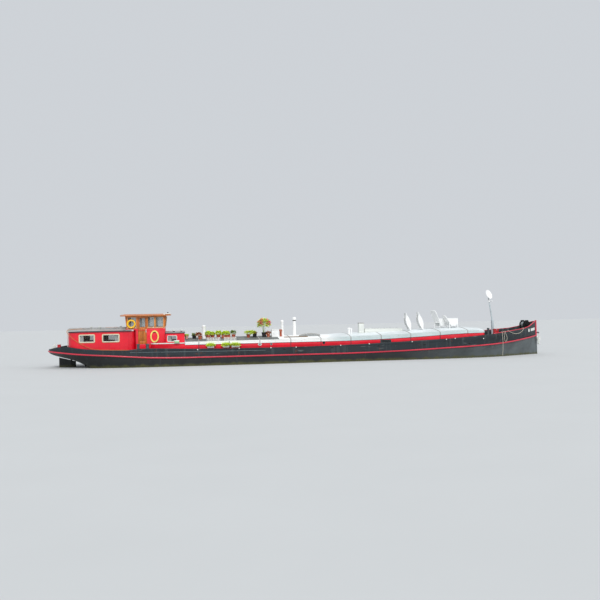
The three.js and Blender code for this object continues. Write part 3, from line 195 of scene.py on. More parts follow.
def close_ends():
    """Fill the selected mesh's holes."""
    bpy.ops.mesh.fill_holes(sides=0)


def slab(low, high, edge=0.006, segments=2):
    """A board or block between two corners, its arrises eased."""
    only()
    size = [b - a for a, b in zip(low, high)]
    middle = [(a + b) / 2 for a, b in zip(low, high)]
    bpy.ops.mesh.primitive_cube_add(size=1, location=middle, scale=size)
    return rounded(settled(bpy.context.object), min(edge, 0.45 * min(size)), segments)


def aim(axis):
    """The turn that takes the vertical to an axis."""
    return Vector(axis).to_track_quat("Z", "Y").to_euler()


def boards(rows, edge=0.006, segments=2):
    """Boards or blocks, each from the six numbers of its two corners."""
    return [slab(row[:3], row[3:], edge, segments) for row in rows]


def rod(start, end, radius, far_radius=None, sides=16, edge=0.0):
    """A round bar or cone between two points."""
    start, end = Vector(start), Vector(end)
    only()
    bpy.ops.mesh.primitive_cone_add(vertices=sides, radius1=radius, radius2=radius if far_radius is None
        else far_radius, depth=(end - start).length, location=(start + end) / 2, rotation=aim(end - start))
    obj = settled(bpy.context.object)
    return rounded(obj, edge) if edge else obj


def hoop(centre, major, minor, axis=UP, around=36, tube=10):
    """A ring of round section."""
    only()
    bpy.ops.mesh.primitive_torus_add(location=centre, rotation=aim(axis), major_segments=around,
        minor_segments=tube, major_radius=major, minor_radius=minor)
    return settled(bpy.context.object)


def ball(centre, radii, detail=2):
    """A rounded lump."""
    only()
    bpy.ops.mesh.primitive_ico_sphere_add(subdivisions=detail, radius=1, location=centre, scale=radii)
    return settled(bpy.context.object)


def turned(profile, centre=(0, 0, 0), axis=UP, sides=24):
    """A profile of (radius, height) points spun round an axis through the centre."""
    only()
    count = len(profile)
    bpy.ops.mesh.primitive_grid_add(x_subdivisions=count - 1, y_subdivisions=1, size=1)
    obj = bpy.context.object
    for vertex in obj.data.vertices:
        radius, height = profile[vertex.index % count]
        vertex.co = (radius, 0, height)
    spare = [vertex.index for vertex in obj.data.vertices if vertex.index >= count]
    in_edit(obj, lambda: bpy.ops.mesh.select_all(action="DESELECT"))
    for index in spare:
        obj.data.vertices[index].select = True
    bpy.ops.object.mode_set(mode="EDIT")
    bpy.ops.mesh.delete(type="VERT")
    in_edit(obj, lambda: bpy.ops.mesh.spin(steps=sides, angle=math.tau, center=(0, 0, 0), axis=(0, 0, 1)),
        lambda: bpy.ops.mesh.select_all(action="SELECT"), weld, outward)
    return settled(obj, Matrix.Translation(centre) @ aim(axis).to_matrix().to_4x4())


def spun(profile, *place, **more):
    """A solid turned from a profile, which runs straight out from the axis and back to it."""
    return turned([(0, profile[0][1]), *profile, (0, profile[-1][1])], *place, **more)


def pipe(points, radius, sides=10, ring=False):
    """A round tube through points, closed at its ends or joined into a ring."""
    only()
    bpy.ops.curve.primitive_bezier_curve_add()
    curve = bpy.context.object.data
    curve.splines.clear()
    spline = curve.splines.new("POLY")
    spline.points.add(len(points) - 1)
    for point, place in zip(spline.points, points):
        point.co = (*place, 1)
    spline.use_cyclic_u = ring
    curve.bevel_depth = radius
    curve.bevel_resolution = (sides - 4) // 2
    curve.use_fill_caps = True
    bpy.ops.object.convert(target="MESH")
    return in_edit(bpy.context.object, weld, outward)


def skin(rows, capped=False):
    """A sheet of faces laid on rows of points, welded where rows meet themselves."""
    only()
    bpy.ops.mesh.primitive_grid_add(x_subdivisions=len(rows[0]) - 1, y_subdivisions=len(rows) - 1, size=1)
    obj = bpy.context.object
    obj.data.vertices.foreach_set("co", [c for row in rows for point in row for c in point])
    obj.data.update()
    return in_edit(obj, weld, *([close_ends] if capped else []), outward)


def swept(path, section, sideways=None):
    """A closed section of (out, up) points carried along a path. Out is across the path, to its right."""
    path = [Vector(point) for point in path]
    rows = []
    for i, point in enumerate(path):
        along = (path[min(i + 1, len(path) - 1)] - path[max(i - 1, 0)]).normalized()
        across = Vector(sideways) if sideways else along.cross(UP).normalized()
        rise = UP if not sideways else across.cross(along).normalized()
        ring = [point + across * out + rise * up for out, up in section]
        rows.append([*ring, ring[0]])
    return skin(rows, capped=True)


def prism(outline, y0, y1):
    """A flat shape drawn in x and z, between two places across."""
    return skin([[(x, y, z) for x, z in [*outline, outline[0]]] for y in (y0, y1)], capped=True)


def facing(centre, out=STARBOARD, up=UP):
    """Where a flat piece drawn in x and y goes: x to the right, y up, z outwards."""
    out = Vector(out).normalized()
    right = Vector(up).cross(out).normalized()
    rise = out.cross(right)
    turn = Matrix((right, rise, out)).transposed().to_4x4()
    return Matrix.Translation(centre) @ turn


def plate(wide, high, corner, thick, place, edge=0.0):
    """A flat plate with rounded corners, which stands out from its place."""
    only()
    bpy.ops.mesh.primitive_plane_add(size=1)
    obj = settled(bpy.context.object, Matrix.Diagonal((wide, high, 1, 1)))
    in_edit(obj, lambda: bpy.ops.mesh.bevel(offset=corner, segments=5, affect="VERTICES"))
    applied(obj, "SOLIDIFY", thickness=thick, offset=1)
    if edge:
        rounded(obj, edge)
    return settled(obj, place)


def surround(wide, high, corner, border, thick, place, edge=0.004):
    """A frame with rounded corners round an opening of that width and height."""
    only()
    bpy.ops.mesh.primitive_plane_add(size=1)
    obj = settled(bpy.context.object, Matrix.Diagonal((wide + 2 * border, high + 2 * border, 1, 1)))
    in_edit(obj, lambda: bpy.ops.mesh.bevel(offset=corner + border, segments=6, affect="VERTICES"),
        lambda: bpy.ops.mesh.inset(thickness=border, use_even_offset=True),
        lambda: bpy.ops.mesh.delete(type="FACE"))
    applied(obj, "SOLIDIFY", thickness=thick, offset=1)
    rounded(obj, edge)
    return settled(obj, place)


def copied(obj):
    """A copy with its own mesh."""
    twin = obj.copy()
    twin.data = obj.data.copy()
    bpy.context.scene.collection.objects.link(twin)
    return twin


def to_port(*objs):
    """The same shapes on the port side."""
    return [in_edit(settled(copied(obj), Matrix.Diagonal((1, -1, 1, 1))), outward) for obj in objs]


def both_sides(*objs):
    """Shapes and their port twins."""
    return [*objs, *to_port(*objs)]


def piece(name, parts, finish_name, body="boat", slot=None, nodes=(), smooth=35):
    """Join parts into one named piece in its finish that rides on a body."""
    parts = list(parts)
    only(*parts)
    if len(parts) > 1:
        bpy.ops.object.join()
    obj = parts[0]
    obj.name = name
    obj.data.name = name
    only(obj)
    bpy.ops.object.shade_smooth_by_angle(angle=math.radians(smooth))
    obj.data.materials.clear()
    for one in [finish_name] if isinstance(finish_name, str) else finish_name:
        obj.data.materials.append(finish(one))
    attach(obj, body)
    slot = slot or FINISHES[finish_name][0]
    if nodes:
        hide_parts(*nodes)
    return obj


def raw_copy(node, plain=True):
    """A copy of a CAD node's shape, welded, its triangles merged into plain faces if asked."""
    obj = copied(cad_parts[node])
    for key in list(obj.keys()):
        del obj[key]
    obj.parent = None
    obj.data.materials.clear()
    only(obj)
    bpy.ops.mesh.customdata_custom_splitnormals_clear()
    merging = [lambda: bpy.ops.mesh.dissolve_limited(angle_limit=math.radians(0.3))] if plain else []
    return in_edit(obj, weld, *merging)


def parted(obj, place, normal):
    """Cut the object's faces along a plane, and keep both parts."""
    return in_edit(obj, lambda: bpy.ops.mesh.bisect(plane_co=place, plane_no=normal))


def painted_piece(name, obj, finishes, rule, slot, nodes, smooth=32):
    """A piece whose faces take one of several finishes by their place."""
    done = piece(name, [obj], finishes, slot=slot, nodes=nodes, smooth=smooth)
    for polygon in done.data.polygons:
        polygon.material_index = rule(polygon.center, polygon.normal)
    return done


def dress(node, finish_name, edge=0.0, body="boat", slot=None, extra=(), smooth=32, segments=2):
    """A finer copy of a CAD node, its arrises eased, that stands for it."""
    obj = raw_copy(node)
    if edge:
        rounded(obj, edge, segments)
    return piece(f"{node}_fine", [obj, *extra], finish_name, body, slot, [node], smooth)


TREES = {}


def tree_of(node):
    """A search tree of a CAD node's faces."""
    if node not in TREES:
        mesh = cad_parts[node].data
        faces = [tuple(polygon.vertices) for polygon in mesh.polygons]
        TREES[node] = BVHTree.FromPolygons([vertex.co for vertex in mesh.vertices], faces)
    return TREES[node]


def top_of(node, x, y):
    """The height of a CAD node's upper face at a place."""
    hit = tree_of(node).ray_cast(Vector((x, y, 20)), -UP)
    if hit[0] is None:
        raise RuntimeError(f"{node} has nothing over {x:.2f}, {y:.2f}")
    return hit[0].z


def side_of(node, x, z):
    """How far out to starboard a CAD node reaches at a place, as a negative y."""
    hit = tree_of(node).ray_cast(Vector((x, -20, z)), PORT)
    if hit[0] is None:
        raise RuntimeError(f"{node} has no side at {x:.2f}, {z:.2f}")
    return hit[0].y


def between(table, x):
    """A value read off a table of pairs by straight lines."""
    for (x0, v0), (x1, v1) in zip(table, table[1:]):
        if x <= x1:
            return v0 + (v1 - v0) * (x - x0) / (x1 - x0)
    return table[-1][1]


def spread(count, start, end):
    """Evenly spaced places from start to end."""
    return [start + (end - start) * i / (count - 1) for i in range(count)]


def smooth_line(route, steps):
    """Points on the centripetal curve through a route, as the CAD tube has it."""
    points = [Vector(point) for point in route]
    points = [2 * points[0] - points[1], *points, 2 * points[-1] - points[-2]]
    line = []
    for a, b, c, d in zip(points, points[1:], points[2:], points[3:]):
        spans = [max(1e-06, math.sqrt((q - p).length)) for p, q in ((a, b), (b, c), (c, d))]
        leave = ((b - a) / spans[0] - (c - a) / (spans[0] + spans[1]) + (c - b) / spans[1]) * spans[1]
        reach = ((c - b) / spans[1] - (d - b) / (spans[1] + spans[2]) + (d - c) / spans[2]) * spans[1]
        count = max(2, round((c - b).length * steps))
        for i in range(count):
            t = i / count
            line.append((2 * t ** 3 - 3 * t ** 2 + 1) * b + (t ** 3 - 2 * t ** 2 + t) * leave
                + (3 * t ** 2 - 2 * t ** 3) * c + (t ** 3 - t ** 2) * reach)
    return [*line, points[-2]]


def laid_rope(line, radius, strands=3, sides=15):
    """A tube with the lobes of its twisted strands."""
    pitch = sizes().rope_pitch
    rows = []
    done = 0.0
    across = Vector((0.3, 0.2, 1)).normalized()
    for i, point in enumerate(line):
        along = (line[min(i + 1, len(line) - 1)] - line[max(i - 1, 0)]).normalized()
        across = (across - along * across.dot(along)).normalized()
        rise = along.cross(across)
        if i:
            done += (point - line[i - 1]).length
        ring = []
        for k in range(sides):
            angle = math.tau * k / sides
            lobe = radius * (0.955 + 0.045 * math.cos(strands * angle - math.tau * strands * done / pitch))
            ring.append(point + (across * math.cos(angle) + rise * math.sin(angle)) * lobe)
        rows.append([*ring, ring[0]])
    return skin(rows, capped=True)


# Finishes


class Surface:
    """A node material built up from Object coordinates."""

    def __init__(self, name, rough=0.5, metal=0.0, coat=0.0):
        self.material = bpy.data.materials.new(name)
        self.material.use_nodes = True
        tree = self.material.node_tree
        self.nodes = tree.nodes
        self.links = tree.links
        self.shader = tree.nodes["Principled BSDF"]
        self.shader.inputs["Metallic"].default_value = metal
        self.shader.inputs["Roughness"].default_value = rough
        self.shader.inputs["Coat Weight"].default_value = coat
        self.shader.inputs["Coat Roughness"].default_value = 0.12
        self.place = self.node("ShaderNodeTexCoord").outputs["Object"]

    def node(self, kind, values=None, **settings):
        """A node with its settings made and its inputs fed."""
        node = self.nodes.new(kind)
        for key, value in settings.items():
            setattr(node, key, value)
        for key, value in (values or {}).items():
            self.feed(node.inputs[key], value)
        return node

    def feed(self, socket, value):
        """Give a socket a link, a colour or a number."""
        if isinstance(value, bpy.types.NodeSocket):
            self.links.new(value, socket)
        elif socket.type == "RGBA" and len(value) == 3:
            socket.default_value = (*value, 1)
        else:
            socket.default_value = value

    def stretched(self, scale):
        """Object coordinates, scaled along each axis."""
        return self.node("ShaderNodeMapping", {"Vector": self.place, "Scale": scale}).outputs[0]

    def noise(self, scale, detail=3.0, stretch=None, warp=0.0, rough=0.55):
        """Clouds of that many to the metre."""
        place = self.stretched(stretch) if stretch else self.place
        values = {"Vector": place, "Scale": scale, "Detail": detail, "Distortion": warp, "Roughness": rough}
        return self.node("ShaderNodeTexNoise", values).outputs["Fac"]

    def step(self, value, start, end, low=0.0, high=1.0):
        """A value carried from one range to another, and held there."""
        values = {"Value": value, "From Min": start, "From Max": end, "To Min": low, "To Max": high}
        return self.node("ShaderNodeMapRange", values).outputs[0]

    def axis(self, index):
        """One of the three coordinates."""
        return self.node("ShaderNodeSeparateXYZ", {0: self.place}).outputs[index]

    def breadth(self):
        """How far out from the middle line."""
        return self.times(self.axis(1), 0.0, "ABSOLUTE")

    def times(self, a, b, operation="MULTIPLY"):
        """Two values multiplied, or joined another way."""
        return self.node("ShaderNodeMath", {0: a, 1: b}, operation=operation).outputs[0]

    def mix(self, share, low, high):
        """A colour between two others."""
        return self.node("ShaderNodeMix", {0: share, 6: low, 7: high}, data_type="RGBA").outputs[2]

    def seams(self, across, wide, high, gap):
        """Plate seams in x and one other coordinate: 1 on the seam, 0 on the plate."""
        axes = self.node("ShaderNodeSeparateXYZ", {0: self.place}).outputs
        flat = self.node("ShaderNodeCombineXYZ", {0: axes[0], 1: axes[across]}).outputs[0]
        values = {"Vector": flat, "Scale": 1.0, "Mortar Size": gap, "Mortar Smooth": 0.6,
            "Brick Width": wide, "Row Height": high}
        return self.node("ShaderNodeTexBrick", values).outputs["Fac"]

    def paint(self, colour):
        """The base colour."""
        self.feed(self.shader.inputs["Base Color"], colour)
        return self

    def shine(self, value):
        """Roughness that varies over the surface."""
        self.feed(self.shader.inputs["Roughness"], value)
        return self

    def bump(self, *layers):
        """Relief from (height, depth in metres) layers."""
        normal = None
        for height, depth in layers:
            values = {"Height": height, "Distance": depth, "Strength": 1.0}
            if normal:
                values["Normal"] = normal
            normal = self.node("ShaderNodeBump", values).outputs[0]
        self.links.new(normal, self.shader.inputs["Normal"])
        return self


def hue(key):
    """One of the barge's own colours by its name, or the colour of a code."""
    return tuple(getattr(colours(), key)) if hasattr(colours(), key) else tint(key)


def toned(base, tone):
    """A share of the base colour, or the colour of a code."""
    return shade(base, tone) if isinstance(tone, float) else tint(tone)


def layered(name, tones, cloud, wear=(), shine=None, bumps=(), **look):
    """A base in two tones by clouds, which are (scale, detail, stretch), with wear, gloss and relief."""
    s = Surface(name, **look)
    noises = {}

    def pattern(clouds):
        """The noise of those clouds, made once."""
        if clouds not in noises:
            noises[clouds] = s.noise(*clouds)
        return noises[clouds]
    base = hue(tones[0]) if tones[0] else None
    colour = s.mix(s.step(pattern(cloud[0]), *cloud[1:]), toned(base, tones[1]), toned(base, tones[2]))
    for clouds, start, end, share, over in wear:
        colour = s.mix(s.step(pattern(clouds), start, end, 0, share), colour, toned(base, over))
    s.paint(colour)
    if shine:
        s.shine(s.step(pattern(shine[0]), *shine[1:]))
    return s.bump(*[(pattern(clouds), depth) for clouds, depth in bumps])


def topside_enamel(name):
    """Teal black enamel with seams, runs and chalky scuffs."""
    s = Surface(name, coat=0.05)
    base = colours().topside
    cloud = s.noise(0.7, 5)
    colour = s.mix(s.step(cloud, 0.35, 0.65), shade(base, 0.75), shade(base, 1.35))
    runs = s.noise(5, 4, (1, 1, 0.07))
    colour = s.mix(s.step(runs, 0.56, 0.8, 0, 0.28), colour, tint("6f7a78"))
    scuffs = s.noise(9, 6, (0.16, 0.3, 1), 0.6)
    colour = s.mix(s.step(scuffs, 0.64, 0.74, 0, 0.4), colour, tint("8a8f8c"))
    rust = s.times(s.step(s.noise(2.6, 7), 0.63, 0.71), s.step(runs, 0.4, 0.6))
    colour = s.mix(s.times(rust, 0.8), colour, tint("5b2c14"))
    seam = s.seams(2, 2.4, 0.62, 0.006)
    s.paint(s.mix(s.times(seam, 0.35), colour, shade(base, 0.4)))
    s.shine(s.step(cloud, 0.3, 0.7, 0.42, 0.62))
    return s.bump((s.noise(1.3, 2), 0.035), (seam, 0.006), (scuffs, 0.002))


def bottom_enamel(name):
    """Black bottom paint, with growth at the waterline."""
    s = Surface(name)
    base = colours().bottom
    height = s.axis(2)
    cloud = s.noise(1.2, 5)
    colour = s.mix(s.step(cloud, 0.35, 0.7), shade(base, 0.8), shade(base, 1.9))
    runs = s.noise(6, 4, (1, 1, 0.1))
    colour = s.mix(s.step(runs, 0.6, 0.8, 0, 0.5), colour, tint("55605d"))
    edge = s.times(height, s.step(s.noise(3, 5, (1, 1, 0.3)), 0.3, 0.7, -0.07, 0.07), "ADD")
    # Lighter grey towards the bow, growing from 5 m to 13 m forward, in cloudy patches.
    lighter_fore = s.step(s.noise(1.6, 5, (0.5, 1, 1)), 0.25, 0.6, 0.5, 1)
    lighter_fore = s.times(s.step(s.axis(0), 5.0, 13.0, 0, 0.62), lighter_fore)
    colour = s.mix(lighter_fore, colour, tint("6d7678"))
    colour = s.mix(s.step(edge, 0.17, 0.03, 0, 0.85), colour, colours().algae)
    weed = s.times(s.step(s.noise(14, 5, (1, 1, 0.35)), 0.42, 0.62), s.step(edge, 0.1, -0.05))
    colour = s.mix(s.times(weed, 0.7), colour, tint("23280f"))
    # Painted shade at the water's edge: darker from 2 cm above the waterline downwards.
    s.paint(s.mix(s.step(height, 0.02, -0.12, 0, 0.9), colour, tint("1a1512")))
    s.shine(s.step(cloud, 0.3, 0.7, 0.35, 0.7))
    return s.bump((s.noise(1.3, 2), 0.03), (s.seams(2, 2.4, 0.62, 0.006), 0.006), (weed, 0.006))


def red_enamel(name, base, chips):
    """Red enamel over steel plate, a little faded, with runs of dirt and chips."""
    faded, worn = (2.5, 5, (0.5, 0.5, 1)), (16, 6)
    wear = [(faded, 0.5, 0.75, 0.12, "e2606c"), ((7, 4, (1, 1, 0.06)), 0.6, 0.85, 0.35, "5a1018"),
        (worn, 0.69 - chips, 0.72 - chips, 0.75, "2c2524")]
    return layered(name, (base, 0.86, 1.12), ((0.9, 4), 0.3, 0.7), wear, (faded, 0.3, 0.7, 0.28, 0.48),
        [((1.8, 2), 0.018), (worn, 0.0015)], coat=0.12)


def cabin_lining(name):
    """Cream paint on the inside of wells and walls."""
    s = Surface(name, rough=0.6)
    colour = s.mix(s.step(s.noise(1.5, 4), 0.3, 0.7), tint("cfc6b2"), tint("b3a88f"))
    boards = s.node("ShaderNodeTexWave", {"Vector": s.place, "Scale": 3.2},
        bands_direction="X").outputs["Fac"]
    groove = s.step(boards, 0.06, 0.0)
    s.paint(s.mix(s.times(groove, 0.6), colour, tint("6b6250")))
    return s.bump((s.times(groove, -1.0), 0.004))


def roof_paint(name):
    """White deck paint aft, a cooler and more weathered one forward."""
    s = Surface(name, rough=0.62)
    blotch = s.noise(0.8, 6)
    aft, fore = colours().roof, colours().roof_fore
    white = s.mix(s.step(blotch, 0.45, 0.75, 0, 0.4), aft, shade(aft, 0.8))
    worn = s.mix(s.step(blotch, 0.35, 0.65), shade(fore, 1.08), shade(fore, 0.82))
    along = s.times(s.axis(0), s.step(s.noise(1.1, 4), 0.3, 0.7, -0.5, 0.5), "ADD")
    ahead = s.step(along, 1.0, 1.9)
    colour = s.mix(ahead, white, worn)
    rim = s.times(s.step(s.breadth(), 1.62, 1.9), ahead)
    colour = s.mix(s.times(rim, 0.6), colour, tint("b9cfd0"))
    lichen = s.noise(11, 6)
    colour = s.mix(s.step(lichen, 0.62, 0.7, 0, 0.4), colour, tint("979a8d"))
    s.paint(s.mix(s.step(s.noise(6, 5, (0.2, 1, 1)), 0.67, 0.73, 0, 0.4), colour, tint("7b7f7f")))
    return s.bump((blotch, 0.012), (lichen, 0.002))


def gloss_paint(name, base, stain):
    """Plain gloss paint with rain stains."""
    cloud, spots = (1.7, 5), (13, 6)
    return layered(name, (base, 1.06, 0.8), (cloud, 0.35, 0.7), [(spots, 0.62, 0.72, 0.6, stain)],
        (cloud, 0.3, 0.7, 0.34, 0.6), [(cloud, 0.004), (spots, 0.001)], rough=0.42, coat=0.1)


def plastic(name, base, dirt="6b675c", rough=0.4):
    """Sun-dulled plastic with grime."""
    cloud, grime = (5, 4), (17, 6)
    return layered(name, (base, 1.05, 0.78), (cloud, 0.3, 0.75), [(grime, 0.62, 0.76, 0.5, dirt)],
        (cloud, 0.3, 0.7, rough - 0.08, rough + 0.15), [((180, 2), 0.0006), (grime, 0.001)], rough=rough)


def foliage(name, base):
    """Leaves from yellow-green tips to dark shade."""
    veins = (70, 3, (1, 1, 0.4))
    return layered(name, (base, 0.8, 1.3), ((9, 4), 0.3, 0.7), [(veins, 0.5, 0.8, 0.4, "c9d36a")],
        bumps=[(veins, 0.001)])


def fibre(name, base):
    """Rope fibre, its yarns painted darker in their hollows as shade, with dusty patches."""
    yarn = (150, 3, (0.5, 0.5, 1))
    # The yarn noise sets both colour and relief, darker in its hollows: painted shade.
    return layered(name, (base, 0.75, 1.2), (yarn, 0.35, 0.7), [((5, 5), 0.55, 0.75, 0.25, "8d7a5c")],
        bumps=[(yarn, 0.0015)], rough=0.85)


def timber(name, base, along, coat, weathered=0.0):
    """Wood with its grain along one axis."""
    s = Surface(name, rough=0.38, coat=coat)
    base = hue(base)
    stretch = [14.0, 14.0, 14.0]
    stretch[along] = 0.9
    grain = s.noise(2.2, 6, tuple(stretch), 0.35)
    stretch[along] = 0.35
    pores = s.noise(11, 3, tuple(stretch))
    tone = s.noise(1.1, 3)
    colour = s.mix(s.step(grain, 0.32, 0.68), shade(base, 0.55), shade(base, 1.35))
    colour = s.mix(s.step(pores, 0.6, 0.72, 0, 0.5), colour, shade(base, 0.3))
    colour = s.mix(s.step(tone, 0.5, 0.75, 0, 0.35), colour, shade(base, 1.8))
    if weathered:
        colour = s.mix(s.step(s.noise(3, 5), 0.35, 0.6, 0, weathered), colour, tint("8d8373"))
    s.paint(colour)
    s.shine(s.step(tone, 0.3, 0.7, 0.3 + weathered / 2, 0.45 + weathered / 2))
    return s.bump((grain, 0.0015), (pores, 0.001))


def glass_sheet(name, clean, dull, alpha):
    """Glass with smears."""
    s = Surface(name, rough=0.04)
    smear = s.noise(5, 5, (1, 1, 0.4))
    s.paint(s.mix(s.step(smear, 0.35, 0.7), tint(clean), tint(dull)))
    s.shine(s.step(smear, 0.4, 0.75, 0.02, 0.14))
    s.shader.inputs["Alpha"].default_value = alpha


def curtain_cloth(name):
    """Linen blind behind the glass."""
    s = Surface(name, rough=0.9)
    folds = s.node("ShaderNodeTexWave", {"Vector": s.place, "Scale": 7.0, "Distortion": 1.0}).outputs["Fac"]
    # The folds' hollows are painted darker than their crests: painted shade in the creases.
    s.paint(s.mix(folds, tint("dfe3dd"), tint("ffffff")))
    return s.bump((folds, 0.01), (s.noise(250, 1), 0.001))


def galvanised_steel(name):
    """Zinc spangle, dull and streaked."""
    s = Surface(name, rough=0.45, metal=0.6)
    spangle = s.node("ShaderNodeTexVoronoi", {"Vector": s.place, "Scale": 38.0}).outputs["Distance"]
    colour = s.mix(s.step(spangle, 0.1, 0.6), tint("b4babb"), tint("8b9294"))
    s.paint(s.mix(s.step(s.noise(9, 5, (1, 1, 0.15)), 0.55, 0.75, 0, 0.5), colour, tint("776a58")))
    s.shine(s.step(spangle, 0.1, 0.6, 0.35, 0.6))
    return s.bump((s.noise(20, 4), 0.0015))


def old_net(name):
    """A heap of grey netting."""
    s = Surface(name, rough=0.95)
    mesh_lines = s.node("ShaderNodeTexVoronoi", {"Vector": s.place, "Scale": 26.0},
        feature="DISTANCE_TO_EDGE")
    strand = s.step(mesh_lines.outputs["Distance"], 0.12, 0.02)
    # The gaps between the strands are painted a darker grey: painted shade inside the heap.
    s.paint(s.mix(strand, tint("8d9192"), tint("d2d5d4")))
    return s.bump((strand, 0.012), (s.noise(40, 4), 0.006))


def studio_floor(name):
    """Plain pale floor."""
    s = Surface(name, rough=0.8)
    s.paint(s.mix(s.noise(0.4, 3), tint("c4c6c6"), tint("c8caca")))


def deck_paint(name):
    """Sanded deck paint with dirt in its hollows."""
    dirt, grit = (2.2, 6), (160, 2)
    return layered(name, ("deck", 1.2, 0.6), (dirt, 0.35, 0.7), [(grit, 0.5, 0.75, 0.35, "34312b")],
        bumps=[(dirt, 0.004), (grit, 0.0015)], rough=0.75)


def roof_felt(name):
    """Mineral felt with granules and damp patches."""
    damp, grains = (1.4, 5), (220, 1)
    return layered(name, ("felt", 1.25, 0.55), (damp, 0.35, 0.65), [(grains, 0.45, 0.7, 0.6, 2.0)],
        bumps=[(damp, 0.006), (grains, 0.002)], rough=0.9)


def black_iron(name):
    """Black painted iron, rusting where it is worn."""
    cloud, rust = (4, 5), (9, 7)
    return layered(name, (None, "15181a", "33393b"), (cloud, 0.3, 0.7), [(rust, 0.56, 0.68, 0.8, "512a17")],
        (rust, 0.4, 0.7, 0.38, 0.82), [(cloud, 0.003), (rust, 0.002)], rough=0.5, metal=0.35)


def sea_bronze(name):
    """Propeller bronze with verdigris."""
    cloud = (7, 5)
    return layered(name, (None, "8f6a2e", "b48a45"), (cloud, 0.35, 0.65), [((5, 6), 0.55, 0.7, 0.7,
        "4d6b55")], bumps=[(cloud, 0.003)], rough=0.35, metal=0.9)


def terracotta(name):
    """Fired clay with lime bloom."""
    cloud = (9, 5)
    return layered(name, (None, "b5593a", "8f4128"), (cloud, 0.3, 0.7), [((6, 6), 0.52, 0.7, 0.55,
        "d3b39c")], bumps=[(cloud, 0.002), ((90, 2), 0.001)], rough=0.85)


def potting_soil(name):
    """Dark compost."""
    lumps = (60, 5)
    # The hollows between the lumps are painted darker than their tops: painted shade.
    return layered(name, (None, "1f1610", "4a3626"), (lumps, 0.35, 0.7), bumps=[(lumps, 0.01)], rough=0.95)


def petals(name):
    """Pink and red blossom."""
    return layered(name, (None, "d83a62", "f08aa4"), ((14, 3), 0.4, 0.6), bumps=[((60, 3), 0.002)],
        rough=0.55)


# Each finish: the slot of its pieces where they name no other, its maker, and the maker's values
FINISHES = {
    "topside_enamel": ("hull_black", topside_enamel),
    "bottom_enamel": ("hull_black", bottom_enamel),
    "crimson_enamel": ("red_paint", red_enamel, "crimson", 0.0),
    "strake_enamel": ("red_paint", red_enamel, "strake", 0.05),
    "deck_paint": ("grey_paint", deck_paint),
    "cabin_lining": ("white_paint", cabin_lining),
    "roof_paint": ("white_paint", roof_paint),
    "roof_felt": ("grey_paint", roof_felt),
    "trim_paint": ("grey_paint", gloss_paint, "trim", "5f6460"),
    "white_paint": ("white_paint", gloss_paint, "f3f4f1", "b3a48c"),
    "pale_trim": ("white_paint", gloss_paint, "e4e2d0", "9a9078"),
    "pale_mast": ("grey_paint", gloss_paint, "b9c4c8", "7f7a70"),
    "cream_paint": ("white_paint", gloss_paint, "cream", "7a6f50"),
    "dark_paint": ("hull_black", gloss_paint, "27323a", "68706f"),
    "moulding_paint": ("hull_black", gloss_paint, "58666a", "8d9390"),
    "grey_iron": ("black_iron", gloss_paint, "50575a", "3a2a20"),
    "varnish_upright": ("varnished_wood", timber, "varnish", 2, 0.6),
    "varnish_along": ("varnished_wood", timber, "varnish", 0, 0.6),
    "bead_wood": ("varnished_wood", timber, "d8a868", 2, 0.3),
    "grey_teak": ("teak", timber, "8a6a48", 0, 0.0, 0.7),
    "window_glass": ("clear_glass", glass_sheet, "6a7370", "b4bfbe", 0.3),
    "cabin_glass": ("clear_glass", glass_sheet, "161b18", "3d4640", 0.22),
    "curtain_cloth": ("curtain", curtain_cloth),
    "black_iron": ("black_iron", black_iron),
    "galvanised_steel": ("galvanised_steel", galvanised_steel),
    "sea_bronze": ("bronze", sea_bronze),
    "yellow_plastic": ("yellow_plastic", plastic, "yellow"),
    "hose_plastic": ("yellow_plastic", plastic, "f6e37c"),
    "white_plastic": ("white_plastic", plastic, "fbfbfd", "c4c4c0"),
    "green_plastic": ("white_plastic", plastic, "a8dba0", "6f8a66"),
    "red_plastic": ("red_paint", plastic, "c01622"),
    "pale_clay": ("terracotta", plastic, "f0b7a6", "b98a78"),
    "black_rubber": ("black_rubber", plastic, "1c1c1c", "55534c", 0.7),
    "terracotta": ("terracotta", terracotta),
    "potting_soil": ("terracotta", potting_soil),
    "lime_leaf": ("foliage", foliage, "leaf"),
    "deep_leaf": ("foliage", foliage, "7f9a2e"),
    "russet_leaf": ("foliage", foliage, "a85a3c"),
    "petals": ("foliage", petals),
    "orange_rope": ("orange_rope", fibre, "rope"),
    "pale_rope": ("pale_rope", fibre, "ddd8c8"),
    "old_net": ("grey_net", old_net),
    "studio_floor": (None, studio_floor),
}


def finish(name):
    """The material of that name, made once."""
    if name not in bpy.data.materials:
        maker, *values = FINISHES[name][1:]
        maker(name, *values)
    return bpy.data.materials[name]


# Stage
CAMERA_PLACE = Vector((-7.36, -48.11, 2.8))
CAMERA_TURN = math.radians(8.5)
CAMERA_PITCH = math.radians(1.024)
CAMERA_ROLL = 0.02


def camera():
    """The photograph's long, low view from the water."""
    bpy.ops.object.camera_add()
    cam = bpy.context.object
    cam.data.lens, cam.data.sensor_width = (48, 36)
    level = Vector((math.sin(CAMERA_TURN), math.cos(CAMERA_TURN), 0))
    side = Vector((math.cos(CAMERA_TURN), -math.sin(CAMERA_TURN), 0))
    look = level * math.cos(CAMERA_PITCH) + UP * math.sin(CAMERA_PITCH)
    rise = UP * math.cos(CAMERA_PITCH) - level * math.sin(CAMERA_PITCH)
    right = side * math.cos(CAMERA_ROLL) - rise * math.sin(CAMERA_ROLL)
    up = side * math.sin(CAMERA_ROLL) + rise * math.cos(CAMERA_ROLL)
    turn = Matrix((right, up, -look)).transposed().to_4x4()
    cam.matrix_world = Matrix.Translation(CAMERA_PLACE) @ turn
    cam.data.clip_end = 1000
    bpy.context.scene.camera = cam


FLOOR_REACH = 160


